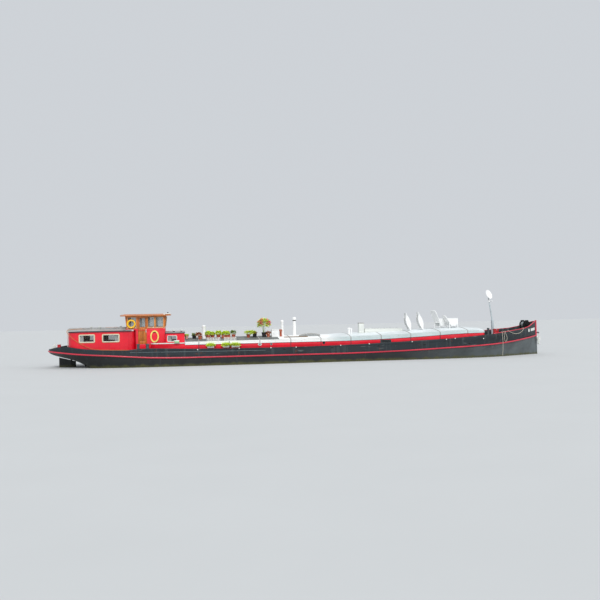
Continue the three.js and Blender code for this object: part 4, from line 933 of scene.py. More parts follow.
def floor():
    """A pale floor at the waterline, open inside the hull's wells."""
    far = FLOOR_REACH
    outer = [(-far, -far, 0), (far, -far, 0), (far, far, 0), (-far, far, 0), (-far, -far, 0)]
    inner = [(-9.9, -1.8, 0), (10.55, -1.8, 0), (10.55, 1.8, 0), (-9.9, 1.8, 0), (-9.9, -1.8, 0)]
    obj = skin([outer, inner])
    obj.name = "studio_floor"
    obj.data.materials.append(finish("studio_floor"))


def lights():
    """A pale sky and a broad, soft sun."""
    scene = bpy.context.scene
    world = bpy.data.worlds.new("studio")
    world.use_nodes = True
    sky = world.node_tree.nodes["Background"]
    sky.inputs["Color"].default_value = (0.86, 0.9, 0.95, 1)
    sky.inputs["Strength"].default_value = 0.72
    scene.world = world
    scene.view_settings.view_transform = "Standard"
    for energy, angle, turn in ((2.0, 25, (48, 12, -18)), (0.6, 60, (62, 0, 70))):
        bpy.ops.object.light_add(type="SUN", rotation=[math.radians(a) for a in turn])
        bpy.context.object.data.energy = energy
        bpy.context.object.data.angle = math.radians(angle)


# Ropes and hose, in metres along the routes of the CAD tubes
AFT_ROPE_RADIUS = 0.013
AFT_ROPE_ROUTE = [(-12.4, -0.9, 2.2345), (-12.8, -1.05, 2.219), (-13.35, -1.18, 2.201),
    (-13.57, -1.35, 2.182), (-13.685, -1.51, 2.152), (-13.71, -1.65, 2.06), (-13.62, -1.74, 1.94),
    (-13.34, -1.745, 1.65), (-13.04, -1.745, 1.42), (-12.74, -1.745, 1.25), (-12.49, -1.77, 1.13),
    (-12.3, -1.87, 1.08), (-12.12, -2.02, 1.058), (-11.95, -2.15, 1.043), (-11.8, -2.236, 1.027),
    (-11.6, -2.273, 1.0205), (-11.4, -2.301, 1.0147), (-11.2, -2.323, 1.0088), (-11, -2.343, 1.0029),
    (-10.8, -2.362, 0.997), (-10.62, -2.374, 0.9917), (-10.51, -2.368, 0.989), (-10.4, -2.342, 0.983),
    (-10.28, -2.3, 0.977), (-10.15, -2.24, 0.973), (-10.05, -2.198, 0.973), (-9.98, -2.182, 0.975),
    (-9.8403, -2.18, 0.975)]
BOW_ROPE_RADIUS = 0.012
BOW_ROPE_ROUTE = [(12.6153, -1.15, 1.4), (12.69, -1.15, 1.4), (12.85, -1.135, 1.402),
    (13.05, -1.105, 1.418), (13.25, -1.072, 1.468), (13.4, -1.055, 1.545), (13.49, -1.062, 1.615),
    (13.53, -1.082, 1.658), (13.548, -1.112, 1.677), (13.56, -1.17, 1.681), (13.568, -1.23, 1.677),
    (13.572, -1.248, 1.64), (13.52, -1.256, 1.56), (13.42, -1.307, 1.47), (13.28, -1.386, 1.4),
    (13.12, -1.473, 1.362), (12.94, -1.564, 1.35), (12.76, -1.655, 1.372), (12.6, -1.738, 1.415),
    (12.46, -1.8, 1.468), (12.385, -1.843, 1.505), (12.352, -1.861, 1.53), (12.343, -1.853, 1.551),
    (12.336, -1.805, 1.555), (12.328, -1.744, 1.55), (12.322, -1.715, 1.52), (12.305, -1.688, 1.472),
    (12.275, -1.665, 1.438), (12.23, -1.65, 1.425), (12.18, -1.655, 1.432), (12.135, -1.69, 1.458),
    (12.105, -1.74, 1.492), (12.092, -1.8, 1.516), (12.086, -1.85, 1.524), (12.08, -1.905, 1.526),
    (12.074, -1.96, 1.521), (12.072, -1.976, 1.49), (12.11, -1.958, 1.37), (12.18, -1.92, 1.23),
    (12.208, -1.895, 1.09), (12.185, -1.89, 0.97), (12.12, -1.912, 0.905), (12.05, -1.946, 0.95),
    (12.01, -1.972, 1.08), (11.995, -1.99, 1.23), (11.988, -1.998, 1.38), (11.984, -2, 1.468),
    (11.982, -1.992, 1.509), (11.977, -1.94, 1.515), (11.972, -1.884, 1.51), (11.962, -1.856, 1.478),
    (11.942, -1.836, 1.445), (11.912, -1.826, 1.432), (11.88, -1.838, 1.444), (11.858, -1.868, 1.466),
    (11.848, -1.904, 1.49), (11.842, -1.94, 1.501), (11.838, -1.99, 1.503), (11.836, -2.038, 1.498),
    (11.838, -2.052, 1.466), (11.846, -2.055, 1.38), (11.858, -2.05, 1.25), (11.87, -2.042, 1.1),
    (11.88, -2.034, 0.95), (11.888, -2.022, 0.8), (11.892, -2.008, 0.64), (11.893, -1.99, 0.45),
    (11.89, -1.955, 0.25), (11.89, -1.92, 0.06)]
HOSE_MIDDLE = (-8.86, 1.7)
HOSE_RADIUS = 0.0135
HOSE_TURNS = 6
HOSE_WALL = -1.5005


def aft_rope():
    """The orange rope from the cabin roof down to the bollards."""
    line = smooth_line(AFT_ROPE_ROUTE[::-1], 45)
    rope = piece("aft_mooring_rope", [laid_rope(line, AFT_ROPE_RADIUS)], "orange_rope", nodes=["aft_rope"],
        smooth=80)


def bow_rope():
    """The pale rope from the bow bollard over the side."""
    line = smooth_line(BOW_ROPE_ROUTE, 45)
    rope = piece("bow_mooring_rope", [laid_rope(line, BOW_ROPE_RADIUS)], "pale_rope", nodes=["bow_rope"],
        smooth=80)


def hose_line():
    """The hose's turns, in two layers of three, each beside the last."""
    across, deep = (0.1795, 0.2067, 0.2339), (HOSE_WALL - 0.014, HOSE_WALL - 0.0415)
    tracks = [(a, deep[0]) for a in across] + [(a, deep[1]) for a in reversed(across)]
    line = []
    steps = 48
    for turn in range(HOSE_TURNS):
        this, after = tracks[turn], tracks[min(turn + 1, HOSE_TURNS - 1)]
        for i in range(steps):
            share = i / steps
            ease = max(0.0, (share - 0.6) / 0.4)
            ease = ease * ease * (3 - 2 * ease)
            half = this[0] + (after[0] - this[0]) * ease
            y = this[1] + (after[1] - this[1]) * ease
            angle = math.tau * share - math.pi / 2
            line.append(Vector((HOSE_MIDDLE[0] + half * math.cos(angle), y, HOSE_MIDDLE[1]
                + (half + 0.1) * math.sin(angle))))
    line.append(Vector((HOSE_MIDDLE[0], tracks[-1][1], HOSE_MIDDLE[1] - tracks[-1][0] - 0.1)))
    return line


def hose():
    """The yellow hose hung in a coil on the wheelhouse base, on its bracket."""
    line = hose_line()
    coil = piece("deck_hose", [pipe(line, HOSE_RADIUS, 10)], "hose_plastic", nodes=["hose_coil"], smooth=60)
    start, end = line[0], line[-1]
    nozzle = spun([(0.014, 0), (0.016, 0.02), (0.0125, 0.03), (0.0125, 0.06), (0.006, 0.08)], end, AHEAD,
        14)
    fitting = piece("hose_nozzle", [nozzle], "black_rubber")
    x, z = HOSE_MIDDLE
    top = z + 0.262
    saddle = [plate(0.16, 0.05, 0.02, 0.006, facing((x, -1.5003, top - 0.02)), 0.002)]
    saddle += [pipe([(x + dx, -1.502, top - 0.035), (x + dx, -1.545, top - 0.03),
        (x + dx, -1.565, top + 0.01)], 0.005) for dx in (-0.05, 0.05)]
    piece("hose_bracket", saddle, "black_iron")


# Hull
STRAKE_HEIGHTS = [(-14.94, 0.955), (-14.8, 0.945), (-14.5, 0.922), (-14.0, 0.882), (-13.4, 0.822),
    (-12.8, 0.775), (-12.2, 0.735), (-11.4, 0.69), (-10.4, 0.62), (-9.0, 0.53), (-7.0, 0.488), (-3.0, 0.48),
    (2.0, 0.485), (5.5, 0.545), (8.5, 0.655), (10.5, 0.735), (12.0, 0.83), (13.2, 0.95), (14.1, 1.06),
    (14.6, 1.125), (14.9, 1.165)]


def hull_plating():
    """The hull, painted by zone: topside, bottom, decks and the linings of its wells."""

    def zone(middle, normal):
        inside = abs(middle.y) < 1.72 and -12.66 < middle.x < 10.52
        if inside and middle.z < 0.9 and well_face(middle, normal):
            return 3
        if normal.z > 0.8:
            return 2
        return 0 if middle.z > between(STRAKE_HEIGHTS, middle.x) else 1
    finishes = ["topside_enamel", "bottom_enamel", "deck_paint", "cabin_lining"]
    painted_piece("hull_plating", raw_copy("hull", plain=False), finishes, zone, "hull_black", ["hull"], 28)


def well_face(middle, normal):
    """Whether a face of the hull lines one of the wells."""
    floor_like = normal.z > 0.9 and middle.z < 0.85
    wall_like = abs(normal.z) < 0.1 and abs(middle.y) < 1.705
    return floor_like or wall_like


STEM_RED_FROM = 1.12


def stem_zone(middle, normal):
    """Which finish a face of the stem takes: its foot and its eye are dark."""
    eye = middle.x > 14.985 and 1.28 < middle.z < 1.4
    return int(middle.z < STEM_RED_FROM or eye)


def strakes_and_rails():
    """The half-round rub strake, the cap rail and the stem, with their welds eased."""
    for side in ("starboard", "port"):
        dress(f"rub_strake_{side}", "strake_enamel", 0.016, smooth=50, segments=3)
        dress(f"bulwark_{side}", "topside_enamel", 0.01, smooth=40)
        dress(f"cap_rail_{side}", "strake_enamel", 0.014, smooth=50, segments=3)
    stem = parted(rounded(raw_copy("stem_bar"), 0.012, 3), (0, 0, STEM_RED_FROM), UP)
    painted_piece("stem_bar_fine", stem, ["strake_enamel", "bottom_enamel"], stem_zone, "red_paint",
        ["stem_bar"])
    bolts = [rod((14.945, -0.046, z), (14.945, 0.046, z), 0.016, sides=10, edge=0.004)
        for z in spread(6, 1.28, 2.0)]
    piece("stem_bolts", bolts, "strake_enamel")


def moulding():
    """A half-round moulding along the after topside."""
    line = []
    for x in spread(24, -10.2, -2.6):
        z = 0.845 - 0.0085 * (x + 10.2)
        line.append((x, side_of("hull", x, z) - 0.004, z))
    bar = pipe(line, 0.014, 8)
    piece("topside_moulding", both_sides(bar), "moulding_paint", smooth=60)


GUNWALE_EYES = ((-6.45, 0.915), (-4.1, 0.93), (-2.28, 0.92), (-0.82, 0.916), (1.79, 0.95), (3.49, 1.0),
    (6.08, 1.06), (8.18, 1.145), (8.73, 1.185), (10.55, 1.129))


def gunwale_eyes():
    """White round eyes on the gunwale's outer face."""
    parts = []
    for x, z in GUNWALE_EYES:
        seat = Vector((x, side_of("bulwark_starboard", x, z) + 0.002, z))
        parts.append(turned([(0, 0), (0.034, 0), (0.034, 0.01), (0.027, 0.018), (0.014, 0.022),
            (0.013, 0.03), (0, 0.032)], seat, STARBOARD, 18))
        parts.append(hoop(seat - Vector((0, 0.027, 0)), 0.02, 0.007, STARBOARD, 20, 8))
    piece("gunwale_eyes", both_sides(*parts), "white_paint", smooth=50)


GUNWALE_HEIGHTS = [(-14.94, 1.07), (-14.75, 1.11), (-14.45, 1.175), (-14.1, 1.225), (-13.7, 1.232),
    (-13.25, 1.155), (-12.8, 1.096), (-11.8, 1.012), (-10.2, 0.965), (-10.05, 1.05), (-9.1, 1.058),
    (-7.6, 1.015), (-6.3, 0.962), (-3.0, 0.94), (-1.0, 0.935), (1.2, 0.95), (3.3, 1.01), (5.4, 1.085),
    (8.4, 1.19), (10.3, 1.325), (11.4, 1.4), (12.0, 1.462), (12.6, 1.53), (13.7, 1.64), (14.1, 1.74),
    (14.4, 1.87), (14.7, 2.0), (14.9, 2.06)]
BOW_PLATES = ((14.04, 14.155, 1.515, 1.515, 0.19), (14.275, 14.73, 1.535, 1.6, 0.165))


def bow_plates():
    """Two bare plates bent to each bow, and their screws, where the name would stand."""
    parts, screws = [], []
    for x0, x1, z0, z1, high in BOW_PLATES:

        def at(u, v, out):
            """A place off the bow plating, by its share along the plate and up it."""
            x, z = x0 + (x1 - x0) * u, z0 + (z1 - z0) * u + high * (v - 0.5)
            return Vector((x, side_of("bulwark_starboard", x, z) - out, z))
        sheet = skin([[at(u, v, 0.01) for u in spread(13, 0, 1)] for v in spread(5, 0, 1)])
        parts.append(rounded(applied(sheet, "SOLIDIFY", thickness=0.012, offset=0), 0.003))
        for u, v in ((0.09, 0.12), (0.09, 0.88), (0.91, 0.12), (0.91, 0.88)):
            screws.append(rod(at(u, v, 0.012), at(u, v, 0.022), 0.008, sides=8))
    piece("bow_plates", both_sides(*parts), "white_paint")
    piece("bow_plate_screws", both_sides(*screws), "galvanised_steel")


def hull_fittings():
    """Hawse pipes, scuppers, zinc anodes and the fore deck's hatch."""
    iron = [hoop((x, side_of("bulwark_starboard", x, z) + 0.02, z), 0.062, 0.02, STARBOARD, 24, 8)
        for x, z in ((13.35, 1.45), (11.5, 1.27))]
    for x in spread(9, -12.6, 9.6):
        z = between(STRAKE_HEIGHTS, x) + 0.34
        if z < between(GUNWALE_HEIGHTS, x) - 0.02:
            z = min(z, 0.86)
            iron.append(plate(0.16, 0.04, 0.018, 0.006, facing((x, side_of("hull", x, z) - 0.001, z)),
                0.002))
    piece("hawse_rings", both_sides(*iron), "black_iron")
    rows = [(x, side_of("hull", x, -0.3)) for x in (-11.6, -10.9, -6.0, 0.0, 6.0)]
    zincs = boards([(x - 0.15, y - 0.03, -0.34, x + 0.15, y + 0.04, -0.26) for x, y in rows], 0.02, 3)
    piece("zinc_anodes", both_sides(*zincs), "galvanised_steel")
    deck = frame_top(11.45, 0)
    lid = boards([(11.2, -0.3, deck, 11.75, 0.3, deck + 0.12)], 0.02, 3)
    rim = boards([(11.16, -0.34, deck - 0.01, 11.79, 0.34, deck + 0.05)], 0.012)
    piece("fore_hatch", lid + rim, "trim_paint")
    hinges = [rod((11.22, y - 0.05, deck + 0.12), (11.22, y + 0.05, deck + 0.12), 0.016, sides=10)
        for y in (-0.18, 0.18)]
    piece("hatch_hinges", hinges, "black_iron")


def frame_top(x, y):
    """The height of the deck at a place."""
    return top_of("hull", x, y)


def screw_and_rudder():
    """Propeller with twisted blades, and the rudder with its stiffeners and pintles."""
    middle = (-13.06, 0, -0.43)
    blades = []
    for k in range(4):
        rows = []
        for i in range(9):
            reach = 0.05 + 0.295 * i / 8
            chord = 0.21 * math.sqrt(max(0.04, 1 - ((i - 3.6) / 5.2) ** 2))
            pitch = math.atan2(0.19, reach + 0.06)
            ring = []
            for j in range(13):
                turn = math.tau * j / 12
                u, v = math.cos(turn) * chord / 2, math.sin(turn) * 0.011 * (1.25 - i / 10)
                across = u * math.cos(pitch) - v * math.sin(pitch)
                along = u * math.sin(pitch) + v * math.cos(pitch)
                ring.append(Vector((min(0.088, max(-0.088, along)), across, reach)))
            rows.append(ring)
        blade = skin(rows, capped=True)
        blades.append(settled(blade, Matrix.Translation(middle) @ Matrix.Rotation(k * math.pi / 2, 4, "X")))
    hub = turned([(0, -0.094), (0.028, -0.09), (0.05, -0.06), (0.056, -0.02), (0.074, 0.06), (0.074, 0.09),
        (0.03, 0.092), (0.03, 0.56), (0, 0.56)], middle, AHEAD, 28)
    piece("propeller_fine", [*blades, hub], "sea_bronze", "screw", "bronze", ["propeller"], 40)
    ribs = boards([(-14.24, -0.042, z - 0.02, -13.66, 0.042, z + 0.02) for z in (-0.72, -0.4, -0.08, 0.24)])
    head = turned([(0, 0.7), (0.075, 0.7), (0.08, 0.72), (0.08, 0.755), (0.06, 0.775), (0, 0.778)],
        (-13.7, 0, 0), sides=20)
    dress("rudder", "bottom_enamel", 0.01, "rudder", "hull_black", ribs, segments=3)
    piece("rudder_cap", [head], "black_iron", "rudder", "black_iron")


def machinery():
    """The engine block, painted and ribbed."""
    ribs = boards([(x, -0.395, -0.55, x + 0.04, 0.395, 0.16) for x in spread(7, -9.45, -8.72)], 0.01)
    heads = boards([(x, -0.16, 0.165, x + 0.13, 0.16, 0.18) for x in spread(6, -9.42, -8.8)])
    dress("engine", "trim_paint", 0.02, extra=ribs + heads, segments=3)


# Aft cabin
CABIN_WINDOWS = ((-13.02, -12.21), (-11.74, -10.85))
CABIN_WINDOW_ROW = (1.465, 1.86)
CABIN_SIDE = -1.7


def cabin_window(x0, x1, low, high, y, corner, curtain):
    """One window on the starboard side: surround, frame, sash, glass and a drawn-back blind."""
    wide, tall = x1 - x0, high - low
    x, z = (x0 + x1) / 2, (low + high) / 2
    border = sizes().window_frame
    outer = surround(wide - 0.012, tall - 0.012, corner, border, 0.016, facing((x, y, z)))
    frame_ring = surround(wide - 0.016, tall - 0.016, corner, border * 0.4, 0.024, facing((x, y, z)))
    sash = surround(wide - 0.05, tall - 0.05, corner, 0.022, 0.02, facing((x, y + 0.022, z)))
    glass = plate(wide - 0.03, tall - 0.03, corner, 0.005, facing((x, y + 0.036, z)))
    blind = curtain_strip(x + curtain * (wide / 2 - 0.115), y + 0.05, low + 0.01, high - 0.01, 0.2)
    return (outer, [frame_ring, sash], glass, blind)


def curtain_strip(x, y, low, high, wide):
    """A stiff pleated blind, folded back at one side of a window."""
    rows = []
    for z in (low, (low + high) / 2, high):
        rows.append([(x - wide / 2 + wide * i / 16, y + (0.012 if i % 2 else -0.012), z)
            for i in range(17)])
    return applied(skin(rows), "SOLIDIFY", thickness=0.003, offset=0)


def cabin_walls():
    """Crimson plating, with a kick strip, a seam flat and the fore door's frame."""
    for node in ("aft_cabin_side_starboard", "aft_cabin_side_port"):
        dress(node, "crimson_enamel")
    for node in ("aft_cabin_stern_wall", "aft_cabin_front_wall"):
        dress(node, "crimson_enamel", smooth=45)
    seams = boards([(x - 0.022, -1.7045, 0.99, x + 0.022, -1.699, 2.02) for x in (-13.1, -11.95, -10.51)],
        0.002, 1)
    piece("cabin_seam_flats", both_sides(*seams), "crimson_enamel")


def cabin_windows():
    """The two windows of each side."""
    outer, inner, glass, blinds = [], [], [], []
    for (x0, x1), side in zip(CABIN_WINDOWS, (-1, 1)):
        ring, frames, pane, blind = cabin_window(x0, x1, *CABIN_WINDOW_ROW, CABIN_SIDE, 0.03, side)
        outer.append(ring)
        inner += frames
        glass.append(pane)
        blinds.append(blind)
    piece("cabin_window_surrounds", both_sides(*outer), "cream_paint")
    piece("cabin_window_sashes", both_sides(*inner), "pale_trim")
    piece("cabin_window_panes", both_sides(*glass), "cabin_glass", nodes=["aft_cabin_glass_starboard",
        "aft_cabin_glass_port"])
    piece("cabin_window_blinds", both_sides(*blinds), "curtain_cloth")


def cabin_roof():
    """The arched aft cabin roof with its trim, hatch, mushroom vents and grab rails."""
    roof = rounded(raw_copy("aft_cabin_roof"), 0.014, 3)
    painted_piece("aft_cabin_roof_fine", roof, ["trim_paint", "white_paint"],
        lambda middle, normal: int(normal.z < 0.5), "grey_paint", ["aft_cabin_roof"], 35)
    line = [(x, side_of("aft_cabin_roof", x, 2.06), 2.034) for x in spread(56, -13.66, -10.14)]
    drip = [swept(line, [(-0.006, -0.014), (0.012, -0.014), (0.012, 0.05), (-0.006, 0.05)], STARBOARD)]
    piece("cabin_drip_rail", both_sides(*drip), "dark_paint")
    x, z = -11.35, top_of("aft_cabin_roof", -11.35, 0)
    hatch = [slab((x - 0.36, -0.36, z - 0.02), (x + 0.36, 0.36, z + 0.0), 0.012)]
    vents = []
    for vx, vy in ((-12.6, 0.55), (-12.0, -0.6), (-10.9, 0.62)):
        vz = top_of("aft_cabin_roof", vx, vy)
        vents.append(turned([(0, -0.01), (0.075, -0.01), (0.07, 0.012), (0.045, 0.018), (0.045, 0.045),
            (0.09, 0.05), (0.095, 0.062), (0.06, 0.085), (0, 0.09)], (vx, vy, vz), sides=24))
    piece("cabin_mushroom_vents", vents, "white_paint", smooth=50)
    rails = []
    for vy in (-1.2, 1.2):
        points = []
        for rx in spread(5, -12.9, -10.9):
            rz = top_of("aft_cabin_roof", rx, vy)
            rails.append(rod((rx, vy, rz - 0.005), (rx, vy, rz + 0.05), 0.012, sides=10))
            points.append((rx, vy, rz + 0.05))
        rails.append(pipe(points, 0.013, 10))
    piece("cabin_grab_rails", rails, "galvanised_steel", smooth=60)
    piece("cabin_roof_hatch", hatch, "varnish_along")


CABIN_AFT = -13.7


def stern_fittings():
    """Flagstaff socket, stern light, post and locker at the aft end, and the deck's cleats."""
    x = CABIN_AFT - 0.08
    post = rod((x, -0.9, frame_top(x, -0.9)), (x, -0.9, 2.0), 0.02, sides=12)
    brackets = boards([(x, -0.91, z, CABIN_AFT + 0.005, -0.89, z + 0.02) for z in (1.25, 1.8)], 0.004)
    piece("stern_post", [post, *brackets], "white_paint", smooth=60)
    lens = turned([(0, 0), (0.045, 0), (0.05, 0.012), (0.05, 0.1), (0.035, 0.12), (0, 0.125)],
        (-13.3, 0, 2.155), sides=20)
    piece("stern_light", [lens], "white_plastic", smooth=50)
    rows = [[(-14.8, -0.3, 1.1), (-14.52, -0.3, 1.1)], [(-14.66, -0.3, 1.3), (-14.52, -0.3, 1.42)]]
    fin = rounded(applied(skin(rows), "SOLIDIFY", thickness=0.03, offset=0), 0.004)
    foot = slab((-14.82, -0.36, frame_top(-14.66, -0.3)), (-14.5, -0.24, 1.11), 0.008)
    piece("flagstaff_bracket", [fin, foot], "white_paint")
    deck = frame_top(-14.3, -0.5)
    box = boards([(-14.38, -0.67, deck, -14.21, -0.43, deck + 0.27)], 0.02, 3)
    box += boards([(-14.39, -0.68, deck + 0.26, -14.2, -0.42, deck + 0.3)], 0.012, 3)
    piece("stern_locker", box, "red_plastic")
    cleats = []
    for x in (-13.9, 10.6):
        y = side_of("bulwark_starboard", x, between(GUNWALE_HEIGHTS, x) - 0.03) + 0.18
        deck = frame_top(x, y)
        cleats += [rod((x + dx, y, deck), (x + dx, y, deck + 0.07), 0.02, sides=12) for dx in (-0.05, 0.05)]
        horns = ((-0.17, 0.095), (-0.07, 0.08), (0.07, 0.08), (0.17, 0.095))
        cleats.append(pipe([(x + dx, y, deck + rise) for dx, rise in horns], 0.02, 12))
    piece("deck_cleats", both_sides(*cleats), "galvanised_steel", smooth=60)


# Wheelhouse
WALL_SIDE = -1.5
WALL_AFT, WALL_FORE = -10.42, -8.27
WALL_LOW, WALL_TOP, RAKE = 2.16, 2.88, 0.08
SIDE_PANES = ((-10.35, -9.88), (-9.225, -8.87), (-8.77, -8.36))
PANE_ROW = (2.24, 2.81)
END_PANES = ((WALL_FORE, 1, 4), (WALL_AFT, -1, 3))


def side_pane_trim(x0, x1, y):
    """Beads round one side pane."""
    low, high = PANE_ROW
    middle = ((x0 + x1) / 2, y, (low + high) / 2)
    wide = sizes().bead
    return surround(x1 - x0 - 0.012, high - low - 0.012, 0.03, wide, 0.012, facing(middle), 0.003)


def end_place(face, way, y, z, depth):
    """A place on the outer face of a raked end wall."""
    slope = way * RAKE / (WALL_TOP - WALL_LOW)
    out = Vector((way, 0, -way * slope)).normalized()
    rise = Vector((slope, 0, 1)).normalized()
    centre = Vector((face + slope * (z - WALL_LOW), y, z)) + out * depth
    return facing(centre, out, rise)


def end_panes():
    """Beads and glass of the two end walls."""
    beads, glass = {1: [], -1: []}, {1: [], -1: []}
    half = 1.5 - 0.0453
    high, z = PANE_ROW[1] - PANE_ROW[0], (PANE_ROW[0] + PANE_ROW[1]) / 2
    for face, way, count in END_PANES:
        pitch = 2 * half / count
        wide = pitch - 0.1
        for i in range(count):
            y = -half + (i + 0.5) * pitch
            rim = (wide - 0.012, high - 0.012, 0.03, sizes().bead, 0.01, end_place(face, way, y, z, 0),
                0.003)
            beads[way].append(surround(*rim))
            glass[way].append(plate(wide + 0.02, high + 0.02, 0.03, 0.005, end_place(face, way, y, z,
                -0.055)))
    return (beads, glass)


def wheelhouse_walls():
    """Varnished walls with beaded panes, corner posts and rails."""
    for part in ("side_starboard", "side_port", "front", "back"):
        dress(f"wheelhouse_{part}", "varnish_upright")
    trim = [side_pane_trim(x0, x1, WALL_SIDE) for x0, x1 in SIDE_PANES]
    nose = [(-0.004, -0.02), (0.02, -0.02), (0.026, -0.008), (0.02, 0.012), (-0.004, 0.018)]
    head = [(-0.004, -0.02), (0.016, -0.016), (0.016, 0.022), (-0.004, 0.022)]
    rails = []
    for start, end, out, z, section in ((WALL_AFT - 0.005, -9.82, 0.004, 2.205, nose),
            (-9.27, WALL_FORE + 0.005, 0.004, 2.205, nose), (WALL_AFT - 0.07, WALL_FORE + 0.07, 0.003, 2.85,
            head)):
        rails.append(swept([(start, WALL_SIDE - out, z), (end, WALL_SIDE - out, z)], section, STARBOARD))
    piece("wheelhouse_rails", both_sides(*rails), "varnish_along")
    posts = []
    for foot, way in ((WALL_AFT, -1), (WALL_FORE, 1)):
        lean = Vector((way * RAKE, 0, WALL_TOP - WALL_LOW))
        start = Vector((foot - way * 0.025, WALL_SIDE - 0.006, WALL_LOW + 0.004))
        section = [(-0.03, -0.006), (0.03, -0.006), (0.03, 0.01), (-0.03, 0.01)]
        posts.append(swept([start, start + lean * 0.985], section, AHEAD))
    low, out, back = WALL_LOW + 0.01, WALL_SIDE - 0.014, WALL_SIDE + 0.002
    posts += boards([(x - 0.022, out, low, x + 0.022, back, 2.862) for x in (-9.86, -9.245)], 0.005)
    piece("wheelhouse_posts", both_sides(*posts), "varnish_upright")
    piece("wheelhouse_side_beads", both_sides(*trim), "bead_wood")


def wheelhouse_glazing():
    """Glass of the wheelhouse."""
    low, high = PANE_ROW
    side = [plate(x1 - x0 + 0.02, high - low + 0.02, 0.03, 0.005, facing(((x0 + x1) / 2, WALL_SIDE + 0.05,
        (low + high) / 2))) for x0, x1 in SIDE_PANES]
    piece("wheelhouse_side_panes", both_sides(*side), "window_glass", nodes=["wheelhouse_glass_starboard",
        "wheelhouse_glass_port"])
    beads, glass = end_panes()
    piece("wheelhouse_front_panes", glass[1], "window_glass", nodes=["wheelhouse_front_glass"])
    piece("wheelhouse_back_panes", glass[-1], "window_glass", nodes=["wheelhouse_back_glass"])
    piece("wheelhouse_end_beads", beads[1] + beads[-1], "bead_wood")


def wheelhouse_base():
    """The red steel base with its shelf and door runners."""
    dress("wheelhouse_base", "crimson_enamel", 0.006)
    _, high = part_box("wheelhouse_base")
    height = high.z - 0.085
    section = [(-0.004, -0.012), (0.01, -0.012), (0.01, 0.012), (-0.004, 0.012)]
    strip = swept([(-9.92, -1.502, height), (-8.28, -1.502, height)], section, STARBOARD)
    piece("base_moulding", both_sides(strip), "crimson_enamel")
    runner = slab((-9.83, -1.5025, 1.262), (-8.77, -1.45, 1.272), 0.003)
    piece("door_runners", both_sides(runner), "galvanised_steel")


def on_horn(middle, normal):
    """One for the faces of the horn on the wheelhouse roof, else nought."""
    return int(middle.x > -8.35 and abs(middle.y + 1.48) < 0.065 and (middle.z > 2.946))


def wheelhouse_roof():
    """The varnished roof, its planks and edge, and the twin horn."""
    painted_piece("wheelhouse_roof_fine", rounded(raw_copy("wheelhouse_roof"), 0.012),
        ["varnish_along", "white_paint"], on_horn, "varnished_wood", ["wheelhouse_roof"], 35)
    rows = [(y, 2.925 + 0.07 * (1 - (y / 1.72) ** 2)) for y in spread(12, -1.43, 1.43)]
    battens = boards([(-10.62, y - 0.006, z - 0.01, -8.12, y + 0.006, z + 0.004) for y, z in rows], 0.003,
        1)
    piece("wheelhouse_roof_battens", battens, "varnish_along")
    x, y, z = -8.01, -1.48, 2.98
    trumpets = []
    for dy, long in ((-0.045, 0.34), (0.045, 0.26)):
        trumpets.append(turned([(0, 0), (0.02, 0), (0.02, 0.04), (0.012, 0.05), (0.014, long * 0.7),
            (0.024, long * 0.9), (0.044, long), (0.038, long), (0.016, long * 0.8), (0, long * 0.75)],
            (x - 0.3, y + dy, z), AHEAD, 20))
    foot = slab((x - 0.29, y - 0.06, 2.935), (x - 0.24, y + 0.06, z - 0.012))
    piece("twin_horn", [*trumpets, foot], "white_paint", smooth=50)
    lamp = turned([(0, 0), (0.05, 0), (0.05, 0.02), (0.04, 0.03), (0.045, 0.1), (0.03, 0.125), (0, 0.13)],
        (-8.1, -1.2, 2.95), sides=20)
    piece("roof_lamp", [lamp], "black_iron", smooth=50)


def doors():
    """Sliding doors: a beaded pane over a framed and boarded panel, with a flush pull."""
    low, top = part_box("wheelhouse_door_starboard")
    x0, x1, face = low.x, top.x, low.y
    near, far, high = face - 0.0035, face + 0.003, 2.03
    rows = [(x - 0.052, face - 0.003, 1.46, x + 0.052, face + 0.004, 2.13) for x in spread(4, x0 + 0.145,
        x1 - 0.145)]
    wood = boards(rows, 0.004)
    wood += boards([(x0 + 0.004, near, 1.29, x0 + 0.085, far, 2.81), (x1 - 0.085, near, 1.29, x1 - 0.004,
        far, 2.81), (x0 + 0.086, near, 1.29, x1 - 0.086, far, 1.44), (x0 + 0.086, near, 2.15, x1 - 0.086,
        far, 2.22)], 0.003)
    wood.append(surround(0.308, 0.508, 0.03, 0.02, 0.004, facing((-9.545, face, 2.5)), 0.0015))
    pull = facing((x1 - 0.045, near, high))
    metal = [surround(0.06, 0.15, 0.02, 0.017, 0.0012, pull), plate(0.03, 0.12, 0.01, 0.0005, pull)]
    glass = [plate(0.31, 0.51, 0.03, 0.005, facing((-9.545, face + 0.022, 2.5)))]
    sides = {"starboard": (wood, metal, glass), "port": [to_port(*group) for group in (wood, metal, glass)]}
    for side, (wood, brass, pane) in sides.items():
        body = f"door_{side}"
        dress(f"wheelhouse_door_{side}", "varnish_upright", 0.003, body, extra=wood)
        piece(f"door_pull_{side}", brass, "white_paint", body, "bronze", smooth=50)
        piece(f"door_pane_{side}", pane, "window_glass", body, "clear_glass")


